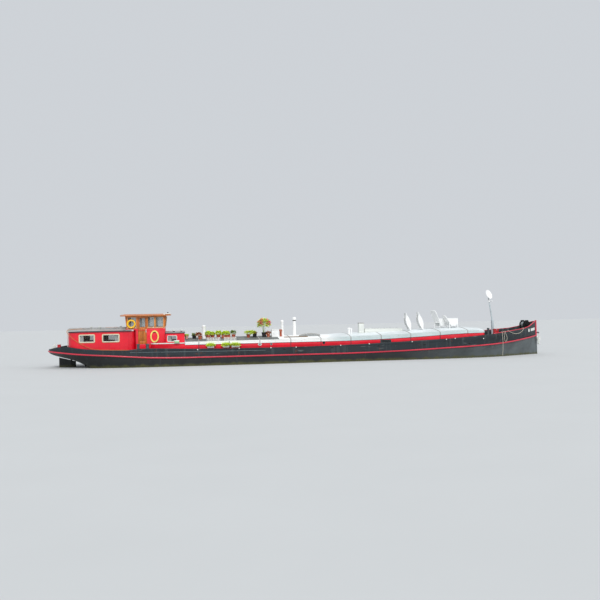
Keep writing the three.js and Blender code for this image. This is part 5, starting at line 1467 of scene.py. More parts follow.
def helm():
    """Console with instruments, the spoked wheel, the floor boards and a helm stool."""
    dress("helm_console", "varnish_upright", 0.012, segments=3)
    places = [(-8.43, y, top_of("helm_console", -8.43, y)) for y in (-0.42, -0.22, 0.0, 0.22, 0.42)]
    rims = [hoop((x, y, z + 0.004), 0.05, 0.008, UP, 24, 8) for x, y, z in places]
    dials = [turned([(0, -0.004), (0.049, -0.004), (0.049, 0.003), (0, 0.005)], (x, y, z), sides=24)
        for x, y, z in places]
    piece("console_dial_rims", rims, "sea_bronze", smooth=50)
    piece("console_dials", dials, "white_plastic", smooth=50)
    wheel = raw_copy("steering_wheel")
    middle = (-8.95, 0, 1.56)
    grips = []
    for k in range(6):
        angle = math.tau * k / 6
        away = Vector((0, math.cos(angle), math.sin(angle)))
        grips.append(turned([(0, 0.352), (0.014, 0.352), (0.02, 0.375), (0.013, 0.39), (0.019, 0.41),
            (0.012, 0.427), (0, 0.43)], middle, away, 14))
    hub = turned([(0, -0.045), (0.05, -0.042), (0.062, -0.03), (0.062, 0.03), (0.05, 0.042), (0, 0.045)],
        middle, AHEAD, 24)
    rim = [hoop(middle, 0.34, 0.0185, AHEAD, 64, 14), hoop((-8.9445, 0, 1.56), 0.34, 0.0155, AHEAD, 64, 10)]
    piece("steering_wheel_fine", [wheel, *grips, *rim], "varnish_upright", "helm", "varnished_wood",
        ["steering_wheel"], 45)
    piece("wheel_hub", [hub], "sea_bronze", "helm", "bronze", smooth=45)
    planks = boards([(-9.86, y - 0.052, 0.978, -8.34, y + 0.052, 0.984) for y in spread(26, -1.32, 1.32)],
        0.003)
    dress("wheelhouse_floor", "varnish_along", 0.004, extra=planks)
    seat = [turned([(0, 0), (0.17, 0), (0.185, 0.02), (0.17, 0.05), (0, 0.055)], (-9.3, 0.55, 1.6),
        sides=28)]
    seat += [spun([(0.2, 0), (0.2, 0.012), (0.035, 0.03), (0.03, 0.6)], (-9.3, 0.55, 0.985), sides=24)]
    piece("helm_stool", seat, "black_rubber", smooth=45)


# Trunk cabin


def trunk():
    """Trunk cabin: crimson walls, framed window, white roof with a rail and two vents."""
    dress("trunk_cabin_walls", "crimson_enamel")
    outer, inner, glass, blind = cabin_window(-8.13, -7.6, 1.4, 1.72, -1.7, 0.035, -1)
    bpy.data.objects.remove(outer)
    piece("trunk_window_surrounds", both_sides(*inner), "white_paint")
    piece("trunk_window_panes", both_sides(glass), "cabin_glass")
    piece("trunk_window_blinds", both_sides(blind), "curtain_cloth")
    roof = rounded(raw_copy("trunk_cabin_roof"), 0.01)
    painted_piece("trunk_cabin_roof_fine", roof, ["trim_paint", "dark_paint"],
        lambda middle, normal: int(normal.z < 0.5), "white_paint", ["trunk_cabin_roof"])
    line = [(x, -1.731, 1.868) for x in (-8.24, -7.131)]
    drip = swept(line, [(-0.004, -0.014), (0.01, -0.014), (0.01, 0.012), (-0.004, 0.012)], STARBOARD)
    piece("trunk_drip_rail", both_sides(drip), "dark_paint")
    caps = []
    for x in (-7.77, -7.34):
        caps.append(turned([(0, 0.13), (0.06, 0.13), (0.078, 0.145), (0.082, 0.165), (0.062, 0.195),
            (0, 0.199)], (x, -1.25, 1.85), sides=20))
    piece("trunk_vent_caps", caps, "white_paint", smooth=50)


class BARGE_OT_stage(bpy.types.Operator):
    """Camera, pale floor and soft studio light."""
    bl_idname = "barge.stage"
    bl_label = "Stage"

    def execute(self, context):
        return made(camera, floor, lights)


class BARGE_OT_ropes(bpy.types.Operator):
    """Mooring ropes and the deck hose."""
    bl_idname = "barge.ropes"
    bl_label = "Ropes and hose"

    def execute(self, context):
        return made(aft_rope, bow_rope, hose)


class BARGE_OT_hull(bpy.types.Operator):
    """Hull plating, strakes, rails, fittings, propeller, rudder and engine."""
    bl_idname = "barge.hull"
    bl_label = "Hull"

    def execute(self, context):
        return made(hull_plating, strakes_and_rails, moulding, gunwale_eyes, bow_plates, hull_fittings,
            screw_and_rudder, machinery)


class BARGE_OT_aft_cabin(bpy.types.Operator):
    """Aft cabin walls, windows, roof and stern fittings."""
    bl_idname = "barge.aft_cabin"
    bl_label = "Aft cabin"

    def execute(self, context):
        return made(cabin_walls, cabin_windows, cabin_roof, stern_fittings)


class BARGE_OT_wheelhouse(bpy.types.Operator):
    """Wheelhouse walls, glass, base, roof, doors and helm."""
    bl_idname = "barge.wheelhouse"
    bl_label = "Wheelhouse"

    def execute(self, context):
        return made(wheelhouse_walls, wheelhouse_glazing, wheelhouse_base, wheelhouse_roof, doors, helm)


class BARGE_OT_trunk(bpy.types.Operator):
    """Trunk cabin between the wheelhouse and the hold."""
    bl_idname = "barge.trunk"
    bl_label = "Trunk cabin"

    def execute(self, context):
        return made(trunk)


# Hold: the coaming, the roof and what stands on it
ROOF_EDGE = [(-7.14, 1.35), (1.3, 1.37), (2.2, 1.405), (5.9, 1.5), (8.2, 1.59), (9.3, 1.65), (10.1, 1.64),
    (10.9, 1.58)]
COAMING_TOP = [(-9.05, 1.27), (-7.16, 1.27), (-7.15, 1.19), (2.2, 1.195), (4.0, 1.23), (5.54, 1.28),
    (7.2, 1.35), (8.64, 1.43), (9.6, 1.465), (10.9, 1.48)]
ROOF_JOINTS = (-7.14, -2.86, 2.52, 7.98, 10.88)
ROOF_BENDS = (1.3, 2.2, 4.0, 5.54, 5.9, 7.2, 8.2, 8.64, 9.3, 9.6, 10.1, 10.45, 10.6, 10.75, 10.84)
ROOF_HALF = 1.975
ROOF_ARCH = 0.185
ROOF_SHELL = 0.09
ROOF_LEG = 0.07
STRAP_LINES = (-6.36, -4.62, -1.05, 0.73, 4.35, 6.15, 9.7)


def roof_half(x):
    """Half the roof's width, rounded off at its fore end."""
    if x <= 10.45:
        return ROOF_HALF
    into = min(1.0, (x - 10.45) / 0.45)
    return ROOF_HALF - 0.45 * (1 - math.sqrt(1 - into * into))


def roof_top(x, y):
    """The height of the arched roof."""
    return between(ROOF_EDGE, x) + ROOF_ARCH * (1 - (y / roof_half(x)) ** 2)


def roof_ring(x, steps=24):
    """The roof's closed section at x."""
    half, low = roof_half(x), between(COAMING_TOP, x) + 0.0003
    inner = half - ROOF_LEG
    outer = [(x, y, roof_top(x, y)) for y in spread(steps + 1, half, -half)]
    under = [(x, y, roof_top(x, y) - ROOF_SHELL) for y in spread(steps + 1, -inner, inner)]
    return [(x, half, low), *outer, (x, -half, low), (x, -inner, low), *under, (x, inner, low),
        (x, half, low)]


def roof_panel(start, end):
    """One smooth panel of the roof."""
    stops = [start, *[x for x in ROOF_BENDS if start + 0.001 < x < end - 0.001], end]
    parts = [skin([roof_ring(x) for x in stops], capped=True)]
    if end > 10.8:
        half, low = roof_half(end), between(COAMING_TOP, end) + 0.0003
        arch = [(y, roof_top(end, y) - 0.001) for y in spread(17, half - 0.002, -half + 0.002)]
        ring = [(half - 0.002, low), *arch, (-half + 0.002, low), (half - 0.002, low)]
        parts.append(skin([[(x, y, z) for y, z in ring] for x in (end - 0.04, end - 0.001)], capped=True))
    return parts


def roof_band(x, wide, high, lift=0.0):
    """A flat bar over the roof from edge to edge."""
    half = roof_half(x) + 0.001
    low = between(COAMING_TOP, x) + 0.004
    path = [(x, -half, low), (x, -half, roof_top(x, half) - 0.01)]
    path += [(x, y, roof_top(x, y) + lift) for y in spread(21, -half + 0.012, half - 0.012)]
    path += [(x, half, roof_top(x, half) - 0.01), (x, half, low)]
    return swept(path, [(-wide / 2, -0.002), (wide / 2, -0.002), (wide / 2, high), (-wide / 2, high)],
        AHEAD)


def hold_roof():
    """Smooth roof panels with straps, seam bars, edge beads and the felt of the after part."""
    for i, (start, end) in enumerate(zip(ROOF_JOINTS, ROOF_JOINTS[1:]), 1):
        piece(f"hold_roof_{i}_fine", roof_panel(start + (0.0006 if i > 1 else 0), end), "roof_paint",
            nodes=[f"hold_roof_{i}"], smooth=38)
    bars = [roof_band(x, sizes().strap, 0.008, 0.004) for x in STRAP_LINES + ROOF_JOINTS[1:4]]
    piece("roof_straps", bars, "trim_paint", smooth=30)
    rows = []
    for x in spread(12, -7.12, -1.72):
        rows.append([(x, y, roof_top(x, y) + 0.002) for y in spread(25, -1.955, 1.955)])
    felt = applied(skin(rows), "SOLIDIFY", thickness=0.004, offset=1)
    laps = []
    for x in (-6.1, -5.1, -4.1, -3.1, -2.1):
        laps.append(swept([(x, y, roof_top(x, y) + 0.006) for y in spread(21, -1.95, 1.95)],
            [(-0.04, -0.002), (0.04, -0.002), (0.036, 0.003), (-0.036, 0.003)], AHEAD))
    piece("roof_felt_sheet", [felt, *laps], "roof_felt", smooth=38)
    beads = []
    for rise in (0.018, -0.052):
        line = [(x, -roof_half(x) - 0.002, between(ROOF_EDGE, x) + rise - 0.01)
            for x in spread(60, -7.13, 10.42)]
        beads.append(pipe(line, 0.008, 8))
    piece("roof_edge_beads", both_sides(*beads), "white_paint", smooth=60)


def porthole(x, z, radius, ring, squash=1.0):
    """A round light in the coaming: its ring and its glass."""
    y = side_of("coaming_starboard", x, z)
    rim = hoop((0, 0, 0), radius, ring, UP, 32, 10)
    rim = settled(rim, facing((x, y - 0.002, z)) @ Matrix.Diagonal((squash, 1, 0.8, 1)))
    pane = turned([(0, -0.002), (radius, -0.002), (radius, 0.003), (0, 0.005)], sides=28)
    pane = settled(pane, facing((x, y - 0.001, z)) @ Matrix.Diagonal((squash, 1, 1, 1)))
    bolts = [rod((x + radius * squash * math.cos(a), y - 0.012, z + radius * math.sin(a)),
        (x + radius * squash * math.cos(a), y - ring - 0.006, z + radius * math.sin(a)), 0.007, sides=8)
        for a in [math.tau * k / 6 for k in range(6)]]
    return (rim, pane, bolts)


PORTHOLE_HEIGHT = 1.11
# Each porthole: x, radius, squash, ring finish and pane finish. The panes are opaque paint, and the dark
# and black ones are painted shade of the unlit inside.
PORTHOLES = ((-2.86, 0.065, 1.5, "white_paint", "trim_paint"), (-2.2, 0.055, 1.0, "trim_paint",
    "dark_paint"), (0.9, 0.07, 1.0, "dark_paint", "black_iron"))
GRILLE_PLACE = (4.625, 1.11)


def coaming():
    """Crimson coaming with its white ledge, portholes, grille and seam flats."""
    for side in ("starboard", "port"):
        obj = rounded(raw_copy(f"coaming_{side}"), sizes().arris)
        painted_piece(f"coaming_{side}_fine", obj, ["crimson_enamel", "white_paint"],
            lambda middle, normal: int(middle.x < -7.1 and middle.z > 1.262), "red_paint",
            [f"coaming_{side}"])
    dress("coaming_front", "crimson_enamel", 0.006)
    seams = []
    for x in STRAP_LINES[:-1] + ROOF_JOINTS[1:4]:
        low, high = frame_top(x, -2.2) + 0.03, between(COAMING_TOP, x) - 0.003
        seams.append(slab((x - 0.018, -1.956, low), (x + 0.018, -1.948, high), 0.003, 1))
    # A dark strip along the coaming just under the roof's overhang: painted shadow of the overhang.
    path = [(x, -1.949, between(COAMING_TOP, x) - 0.012) for x in spread(40, -7.1, 10.35)]
    bead = swept(path, [(-0.004, -0.01), (0.007, -0.01), (0.007, 0.008), (-0.004, 0.008)])
    piece("coaming_seams", both_sides(*seams), "dark_paint")
    piece("coaming_beads", both_sides(bead), "dark_paint")
    rims, panes, bolts = {}, {}, []
    for x, radius, squash, ring, light in PORTHOLES:
        rim, pane, screws = porthole(x, PORTHOLE_HEIGHT, radius, 0.016, squash)
        rims.setdefault(ring, []).append(rim)
        panes.setdefault(light, []).append(pane)
        bolts += screws
    for ring, parts in rims.items():
        piece(f"porthole_rims_{ring}", both_sides(*parts), ring, slot="white_paint", smooth=50)
    for light, parts in panes.items():
        # Opaque panes: the dark ones are painted shade of the unlit inside.
        piece(f"porthole_panes_{light}", both_sides(*parts), light, slot="clear_glass", smooth=50)
    piece("porthole_bolts", both_sides(*bolts), "galvanised_steel", smooth=50)
    x, z = GRILLE_PLACE
    y = side_of("coaming_starboard", x, 1.1)
    x0, x1 = x - 0.32, x + 0.32
    backing = boards([(x0, y - 0.004, z - 0.085, x1, y + 0.004, z + 0.085)], 0.002, 1)
    piece("grille_backing", both_sides(*backing), "black_iron")
    grille = [surround(0.63, 0.15, 0.02, 0.02, 0.014, facing((x, y - 0.003, z)), 0.003)]
    bars = [z + dz for dz in spread(6, -0.06, 0.06)]
    grille += boards([(x0, y - 0.015, bar - 0.004, x1, y - 0.003, bar + 0.004) for bar in bars], 0.002, 1)
    piece("coaming_grille", both_sides(*grille), "grey_iron", slot="galvanised_steel")


POTS = [(-7.05, -0.9, 0.085, 0.105, 0.2, "pale_clay"), (-6.6, -0.9, 0.1, 0.13, 0.25, "black_rubber"),
    (-6.27, -1.25, 0.09, 0.125, 0.21, "terracotta"), (-5.78, -1.08, 0.1, 0.135, 0.24, "terracotta"),
    (-5.53, -0.93, 0.09, 0.125, 0.22, "terracotta"), (-5.19, -1.0, 0.1, 0.135, 0.24, "terracotta"),
    (-4.31, -1.0, 0.085, 0.12, 0.21, "terracotta"), (-3.44, -1.0, 0.08, 0.115, 0.2, "terracotta"),
    (-3.06, -1.0, 0.1, 0.125, 0.24, "black_rubber"), (-2.5, -0.95, 0.11, 0.15, 0.28, "black_rubber"),
    (-2.26, -1.05, 0.08, 0.11, 0.23, "terracotta")]
CROWNS = [(-7.05, -0.9, 0.08, 0.03, 0.0, 50, "lime"), (-6.6, -0.9, 0.08, 0.03, 0.04, 40, "deep"),
    (-6.34, -1.25, 0.14, 0.09, 0.02, 90, "russet"), (-5.8, -1.08, 0.13, 0.11, 0.02, 110, "lime"),
    (-5.6, -0.95, 0.19, 0.09, 0.0, 150, "lime"), (-5.19, -1.0, 0.15, 0.12, 0.0, 150, "lime"),
    (-4.76, -1.01, 0.22, 0.1, 0.0, 190, "lime"), (-4.32, -1.0, 0.14, 0.1, 0.03, 70, "deep"),
    (-3.3, -1.0, 0.36, 0.09, 0.02, 170, "lime"), (-3.06, -1.0, 0.1, 0.04, 0.04, 50, "russet"),
    (-2.5, -0.95, 0.43, 0.36, 0.24, 230, "lime"), (-2.52, -0.93, 0.38, 0.3, 0.26, 90, "deep"),
    (-2.26, -1.05, 0.11, 0.05, 0.02, 50, "russet")]


def pot_shape(x, y, low, high, tall):
    """A plant pot with a rolled rim, and the soil in it."""
    z = roof_top(x, y)
    body = turned([(0, -0.03), (low, -0.03), (low, 0), (low + (high - low) * 0.75, tall * 0.74),
        (high * 0.98, tall * 0.76), (high, tall * 0.78), (high, tall * 0.97), (high * 0.96, tall),
        (high * 0.88, tall), (high * 0.85, tall * 0.96), (high * 0.83, tall * 0.8), (0, tall * 0.78)],
        (x, y, z), sides=22)
    soil = turned([(0, tall * 0.8), (high * 0.83, tall * 0.8), (high * 0.8, tall * 0.86),
        (high * 0.4, tall * 0.9), (0, tall * 0.89)], (x, y, z), sides=16)
    return (body, soil)


def leaf_shape(long, wide):
    """One folded, pointed leaf, its stalk at the origin."""
    rows = []
    for share, half, rise in ((0, 0.06, 0), (0.3, 0.85, 0.1), (0.6, 1.0, 0.14), (0.85, 0.55, 0.09),
            (1, 0.04, 0)):
        fold = 0.12 * half
        rows.append([(long * share, wide * half * side, long * rise + wide * abs(side) * fold)
            for side in (-1, 0, 1)])
    return skin(rows)


def scattered(obj, places):
    """Copies of the object at many places, joined, in place of the one."""
    twins = []
    for place in places:
        twin = obj.copy()
        twin.data = obj.data.copy()
        bpy.context.scene.collection.objects.link(twin)
        twin.matrix_world = place
        twins.append(twin)
    bpy.data.objects.remove(obj)
    only(*twins)
    bpy.ops.object.transform_apply(location=True, rotation=True, scale=True)
    bpy.ops.object.join()
    return twins[0]


def clump_places(x, y, z, wide, high, count, seed, size=1.0):
    """Leaf places over a rounded crown, each leaf turned out and a little up."""
    chance = random.Random(seed)
    places = []
    for k in range(count):
        turn = math.tau * (k * 0.618034 % 1) + chance.uniform(-0.2, 0.2)
        lift = math.asin(max(-0.75, min(0.97, -0.6 + 1.55 * (k + 0.5) / count)))
        depth = chance.uniform(0.55, 0.86)
        away = Vector((math.cos(turn) * math.cos(lift) * wide, math.sin(turn) * math.cos(lift) * wide * 0.8,
            math.sin(lift) * high))
        tilt = Matrix.Rotation(turn, 4, "Z") @ Matrix.Rotation(-lift * 0.7 - chance.uniform(-0.3, 0.5), 4,
            "Y")
        grow = size * chance.uniform(0.75, 1.25)
        places.append(Matrix.Translation(Vector((x, y, z)) + away * depth) @ tilt
            @ Matrix.Rotation(chance.uniform(-0.6, 0.6), 4, "X") @ Matrix.Diagonal((grow, grow, grow, 1)))
    return places


def plants():
    """Pots along the roof with leaves grown from one leaf, and the flowering bush."""
    pots = {}
    soils = []
    for x, y, low, high, tall, what in POTS:
        body, soil = pot_shape(x, y, low, high, tall)
        pots.setdefault(what, []).append(body)
        soils.append(soil)
    for what, bodies in pots.items():
        slot = "black_rubber" if what == "black_rubber" else "terracotta"
        piece(f"roof_pots_{what}", bodies, what, slot=slot, smooth=40)
    z = roof_top(-4.76, -1.01)
    trough = [slab((-5.01, -1.12, z - 0.05), (-4.5, -0.9, z + 0.19), 0.012, 3),
        slab((-5.02, -1.13, z + 0.165), (-4.49, -0.89, z + 0.195), 0.006)]
    piece("roof_trough", trough, "terracotta")
    soils.append(slab((-4.98, -1.1, z + 0.16), (-4.53, -0.92, z + 0.2), 0.006))
    piece("potting_soil", soils, "potting_soil", smooth=50)
    grown = {}
    stems = []
    for k, (x, y, wide, high, lift, count, kind) in enumerate(CROWNS):
        middle = roof_top(x, y) + 0.17 + high + lift
        grown.setdefault(kind, []).extend(clump_places(x, y, middle, wide, high, count, 40 + k, 1.5))
        chance = random.Random(int(1000 * abs(x)))
        for _ in range(5):
            end = Vector((x + chance.uniform(-0.55, 0.55) * wide, y + chance.uniform(-0.45, 0.45) * wide,
                middle + high * chance.uniform(-0.1, 0.5)))
            stems.append(rod((x, y, middle - high - lift - 0.04), end, 0.008, 0.004, 6))
    for kind, places in grown.items():
        leaves = scattered(leaf_shape(sizes().leaf_length, 0.024), places)
        piece(f"plant_leaves_{kind}", [leaves], f"{kind}_leaf", slot="foliage", smooth=60)
    piece("plant_stems", stems, "deep_leaf", smooth=60)
    flower = turned([(0, 0), (0.006, 0.0), (0.03, 0.016), (0.034, 0.026), (0.02, 0.02), (0.008, 0.012),
        (0, 0.014)], sides=7)
    crown = clump_places(-2.5, -0.95, roof_top(-2.5, -0.95) + 0.79, 0.47, 0.38, 90, 9, 1.7)
    blossoms = scattered(flower, [place for place in crown if place.translation.z > 2.15
        and abs(place.translation.x + 2.47) > 0.12])
    piece("flowers", [blossoms], "petals", smooth=60)


def on_roof(profile, x, y, sides=24):
    """A profile spun on the roof at a place, its foot closed."""
    return turned([(0, profile[0][1]), *profile], (x, y, roof_top(x, y)), sides=sides)


def capped_post(x, y, radius, tall):
    """A short ventilation post with a wider head."""
    return on_roof([(radius * 0.75, -0.05), (radius * 0.75, tall * 0.7), (radius, tall * 0.74),
        (radius, tall * 0.95), (radius * 0.7, tall), (0, tall)], x, y)


def roof_furniture():
    """White vents, posts, boxes, the chimney, the skylight and other roof fittings."""
    white = [on_roof([(0.19, -0.05), (0.185, 0.0), (0.17, 0.03), (0.112, 0.3), (0.1, 0.33), (0.1, 0.66),
        (0.106, 0.67), (0.108, 0.7), (0.104, 0.745), (0.06, 0.775), (0, 0.78)], -6.03, -0.9, 28),
        capped_post(2.64, -0.9, 0.095, 0.37), on_roof([(0.09, -0.05), (0.085, 0.0), (0.085, 0.78),
        (0.095, 0.8), (0.095, 0.86), (0.086, 0.9), (0.06, 0.925), (0, 0.932)], -1.26, 0.3)]
    piece("painted_post", [capped_post(-1.5, -0.9, 0.09, 0.42)], "terracotta", smooth=40)
    for x, y in ((2.79, -0.9), (-1.36, -0.9)):
        z = roof_top(x, y)
        white.append(rod((x, y, z - 0.03), (x, y, z + 0.34), 0.035, edge=0.008))
    piece("roof_vents_white", white, "white_plastic", slot="white_paint", smooth=40)
    x, y = -0.66, -0.8
    stack = on_roof([(0.105, -0.05), (0.105, 0.1), (0.092, 0.12), (0.089, 0.955), (0.089, 0.96), (0, 0.96)],
        x, y)
    cowl = turned([(0.06, 0.94), (0.105, 0.955), (0.108, 1.07), (0.095, 1.1), (0.05, 1.12), (0, 1.128)],
        (x, y, roof_top(x, y)))
    piece("vent_stack", [stack, cowl], "white_plastic", slot="white_paint", smooth=40)
    band = turned([(0.085, 0.9), (0.1, 0.9), (0.1, 0.95), (0.085, 0.95)], (x, y, roof_top(x, y)))
    piece("vent_stack_band", [band], "black_iron", smooth=40)
    lattice_box()
    chimney()
    skylight()
    net_heap()


def lattice_box():
    """A white lattice box with a lid."""
    z = roof_top(-1.85, -0.9)
    z0, z1 = z - 0.06, z + 0.425
    ends, sides = (-2.04, -1.66), (-1.1, -0.72)
    parts = boards([(-2.055, -1.115, z1 - 0.03, -1.645, -0.705, z1), (-2.045, -1.105, z0, -1.655, -0.715,
        z0 + 0.14)])
    parts += boards([(x - 0.02, y - 0.02, z0, x + 0.02, y + 0.02, z1 - 0.01) for x in ends for y in sides],
        0.004)
    low, high = z0 + 0.1, z1 - 0.02
    slats = [(k - 0.01, y - 0.006, low, k + 0.01, y + 0.006, high) for k in spread(5, -1.95, -1.75)
        for y in sides]
    slats += [(x - 0.006, k - 0.01, low, x + 0.006, k + 0.01, high) for k in spread(5, -1.01, -0.81)
        for x in ends]
    parts += boards(slats, 0.003, 1)
    parts += [surround(0.34, 0.34, 0.01, 0.02, 0.014, facing((-1.85, -0.91, z0 + h), UP), 0.003)
        for h in (0.24, 0.34)]
    piece("lattice_box", parts, "white_plastic")
    piece("lattice_box_lining", boards([(-2.03, -1.09, low, -1.67, -0.73, z1 - 0.05)], 0.004),
        "white_plastic")


def chimney():
    """The square stove chimney with its capping and base flange."""
    z = roof_top(3.44, -0.62)
    stack = boards([(3.285, -0.785, z - 0.06, 3.595, -0.465, z + 0.57)], 0.012, 3)
    flange = boards([(3.272, -0.798, z + 0.01, 3.608, -0.452, z + 0.07)], 0.008)
    piece("chimney_stack", stack + flange, "white_paint")
    cap = boards([(3.272, -0.798, z + 0.565, 3.608, -0.452, z + 0.612)], 0.008, 3)
    piece("chimney_cap", cap + boards([(3.33, -0.74, z + 0.6, 3.55, -0.51, z + 0.619)]), "trim_paint")


def skylight():
    """The long skylight: framed, ribbed and glazed on its lid."""
    roof = roof_top(4.83, 0.7)
    top = roof + 0.21
    parts = boards([(3.665, -0.695, roof - 0.06, 5.995, 0.695, top - 0.055)], 0.008)
    parts += boards([(3.66, -0.7, top - 0.05, 6.0, 0.7, top - 0.012)], 0.01, 3)
    ribs = [(x - 0.018, -0.69, top - 0.016, x + 0.018, 0.69, top) for x in spread(7, 3.68, 5.98)]
    ribs += [(3.67, y - 0.018, top - 0.016, 5.99, y + 0.018, top - 0.001) for y in (-0.675, 0.0, 0.675)]
    piece("skylight_frame", parts + boards(ribs, 0.004), "white_paint")
    panes = [(3.7, y - 0.32, top - 0.013, 5.96, y + 0.32, top - 0.007) for y in (-0.34, 0.34)]
    piece("skylight_panes", boards(panes, 0.002, 1), "dark_paint", slot="clear_glass")


def net_heap():
    """A folded net and a plank on the roof."""
    lumps = []
    chance = random.Random(11)
    for k in range(9):
        x = -0.3 + 0.13 * k
        high = 0.1 * math.sin(math.pi * (k + 1.2) / 11) + 0.015
        y = -0.95 + chance.uniform(-0.05, 0.05)
        lumps.append(ball((x, y, roof_top(x, y) + high * 0.35), (0.13, 0.2, high), 3))
    heap = lumps[0]
    only(*lumps)
    bpy.ops.object.join()
    applied(heap, "REMESH", mode="VOXEL", voxel_size=0.016)
    in_edit(heap, lambda: bpy.ops.mesh.vertices_smooth(factor=0.5, repeat=2))
    piece("net_heap", [heap], "old_net", smooth=60)
    strands = []
    for k in range(14):
        x0 = -0.36 + 0.085 * k
        points = []
        for i in range(9):
            x = x0 + 0.05 * math.sin(i * 1.3 + k)
            y = -1.13 + 0.045 * i
            hit = bvh_top(heap, x, y)
            points.append((x, y, roof_top(x, y) + 0.005 if hit is None else hit + 0.003))
        strands.append(pipe(points, 0.006, 6))
    piece("net_strands", strands, "pale_rope", smooth=60)
    z = roof_top(0, 1.42)
    plank = boards([(-1.36, -1.42, z + 0.022, 0.05, -1.2, z + 0.046)], 0.004)
    feet = [(x - 0.03, -1.4, roof_top(x, 1.4) - 0.02, x + 0.03, -1.22, z + 0.025) for x in (-1.2, -0.1)]
    piece("roof_plank", plank + boards(feet, 0.003), "grey_teak")


def bvh_top(obj, x, y):
    """The height of an object's upper face, or None beside it."""
    hit = obj.ray_cast(Vector((x, y, 20)), -UP)
    return hit[1].z if hit[0] else None


RACKS = ((-5.9, -5.14), (-4.91, -4.22))
PLANTERS = ((-5.88, -5.5), (-5.0, -4.64), (-4.5, -4.04))


def edge_racks():
    """White trellis racks along the roof's edge."""
    rows = []
    for start, end in RACKS:
        z = roof_top(start, 1.93)
        rows += [(x - 0.009, -1.925, z - 0.01, x + 0.009, -1.913, z + 0.2) for x in spread(9, start + 0.01,
            end - 0.01)]
        rows += [(start, -1.935, h - 0.009, end, -1.925, h + 0.009) for h in spread(4, z + 0.02, z + 0.195)]
        rows += [(x - 0.012, -1.93, z + 0.16, x + 0.012, -1.72, z + 0.18) for x in (start + 0.03,
            end - 0.03)]
    piece("edge_racks", boards(rows, 0.003, 1), "white_plastic")


def edge_planters():
    """Flower boxes hung on the coaming, full of lime leaves."""
    boxes, soils, places = [], [], []
    for k, (start, end) in enumerate(PLANTERS):
        boxes += boards([(start, -2.1, 0.985, end, -1.956, 1.095)], 0.012, 3)
        boxes += boards([(start - 0.01, -2.11, 1.08, end + 0.01, -1.955, 1.1)], 0.005)
        soils += boards([(start + 0.015, -2.09, 1.085, end - 0.015, -1.965, 1.108)], 0.005)
        for share in (0.22, 0.5, 0.78):
            places += clump_places(start + (end - start) * share, -2.06, 1.125, 0.15, 0.09, 70, 80 + 3 * k,
                1.2)
    piece("edge_planters", boxes, "white_plastic")
    piece("edge_planter_soil", soils, "potting_soil")
    leaves = scattered(leaf_shape(sizes().leaf_length, 0.022), places)
    piece("edge_planter_leaves", [leaves], "lime_leaf", smooth=60)


def deck_boxes():
    """A green box on the after ledge and a red one by the mast."""
    deck = frame_top(11.93, -0.8)
    for name, finish_name, edge, row in (("ledge_box", "green_plastic", 0.018,
            (-7.74, -2.12, 1.3205, -7.47, -1.97, 1.425)), ("ledge_box_lid", "white_plastic", 0.014,
            (-7.75, -2.13, 1.42, -7.46, -1.96, 1.465))):
        piece(name, boards([row], edge, 3), finish_name)
    red = boards([(11.8, -0.98, deck, 12.06, -0.68, 1.62)], 0.015, 3)
    red += boards([(11.785, -0.995, 1.61, 12.075, -0.665, 1.66)], 0.012, 3)
    piece("mast_locker", red, "red_plastic")
    piece("locker_hasp", boards([(11.9, -1.006, 1.56, 11.95, -0.978, 1.64)], 0.004), "galvanised_steel")


# Seats
CHAIR_LEAN = math.radians(14)
CHAIR_TALL = 1.08
CHAIR_BULGE = 0.13
CHAIR_SIDES = (-0.97, -0.53)
FOLDED_CHAIRS = (("folded_chair_aft", 6.44), ("folded_chair_fore", 7.22))
ARMCHAIRS = (("deck_armchair_aft", 8.56, -0.3, 0.74, 26, 22), ("deck_armchair_fore", 9.13, -0.85, 0.4, 36,
    0))
ARMCHAIR_HALF = 0.28
TUBE = 0.0165


def folding_chairs():
    """Two folded deck chairs: straight backs between bowed legs, leaning aft."""
    for name, foot_x in FOLDED_CHAIRS:
        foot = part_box(name)[0].z + 0.018

        def along(side, part, out=0.0):
            """A place on the folded chair, up along its back and out from it."""
            rise = CHAIR_TALL * part
            return Vector((foot_x - rise * math.sin(CHAIR_LEAN) + out, side, foot
                + rise * math.cos(CHAIR_LEAN)))

        def bowed(side, part, way):
            """A place on one of the bowed legs."""
            return along(side, part, way * CHAIR_BULGE * math.sin(math.pi * part / 0.9))
        tubes, slats = [], []
        shares = spread(9, 0.1, 0.84)
        for side in CHAIR_SIDES:
            tubes.append(pipe([along(side, 0), along(side, 0.985)], TUBE, 12))
            tubes += [pipe([bowed(side, part, way) for part in spread(11, 0.0, 0.9)], TUBE, 12)
                for way in (-1, 1)]
            rim = [bowed(side, part, -1) for part in shares] + [bowed(side, part, 1)
                for part in shares[::-1]]
            slats.append(prism([(at.x, at.z) for at in rim], side - 0.004, side + 0.004))
            row = (foot_x - 0.032, side - 0.02, foot - 0.018, foot_x + 0.032, side + 0.02, foot + 0.06)
            tubes += boards([row], 0.008, 3)
            low, high = along(side, 0.52, -0.12), along(side, 0.52, 0.12)
            tubes.append(slab(low - Vector((0, 0.02, 0.03)), high + Vector((0, 0.02, 0)), 0.01, 3))
        backs = [(along(0, part), 0.01, 0.028) for part in spread(19, 0.1, 0.97)]
        backs += [(bowed(0, part, -1), 0.012, 0.022) for part in spread(9, 0.2, 0.7)]
        slats += boards([(at.x - aft, -0.96, at.z - 0.022, at.x + fore, -0.54, at.z + 0.022)
            for at, aft, fore in backs])
        piece(f"{name}_frame", tubes, "white_plastic", nodes=[name], smooth=50)
        piece(f"{name}_slats", slats, "white_plastic")


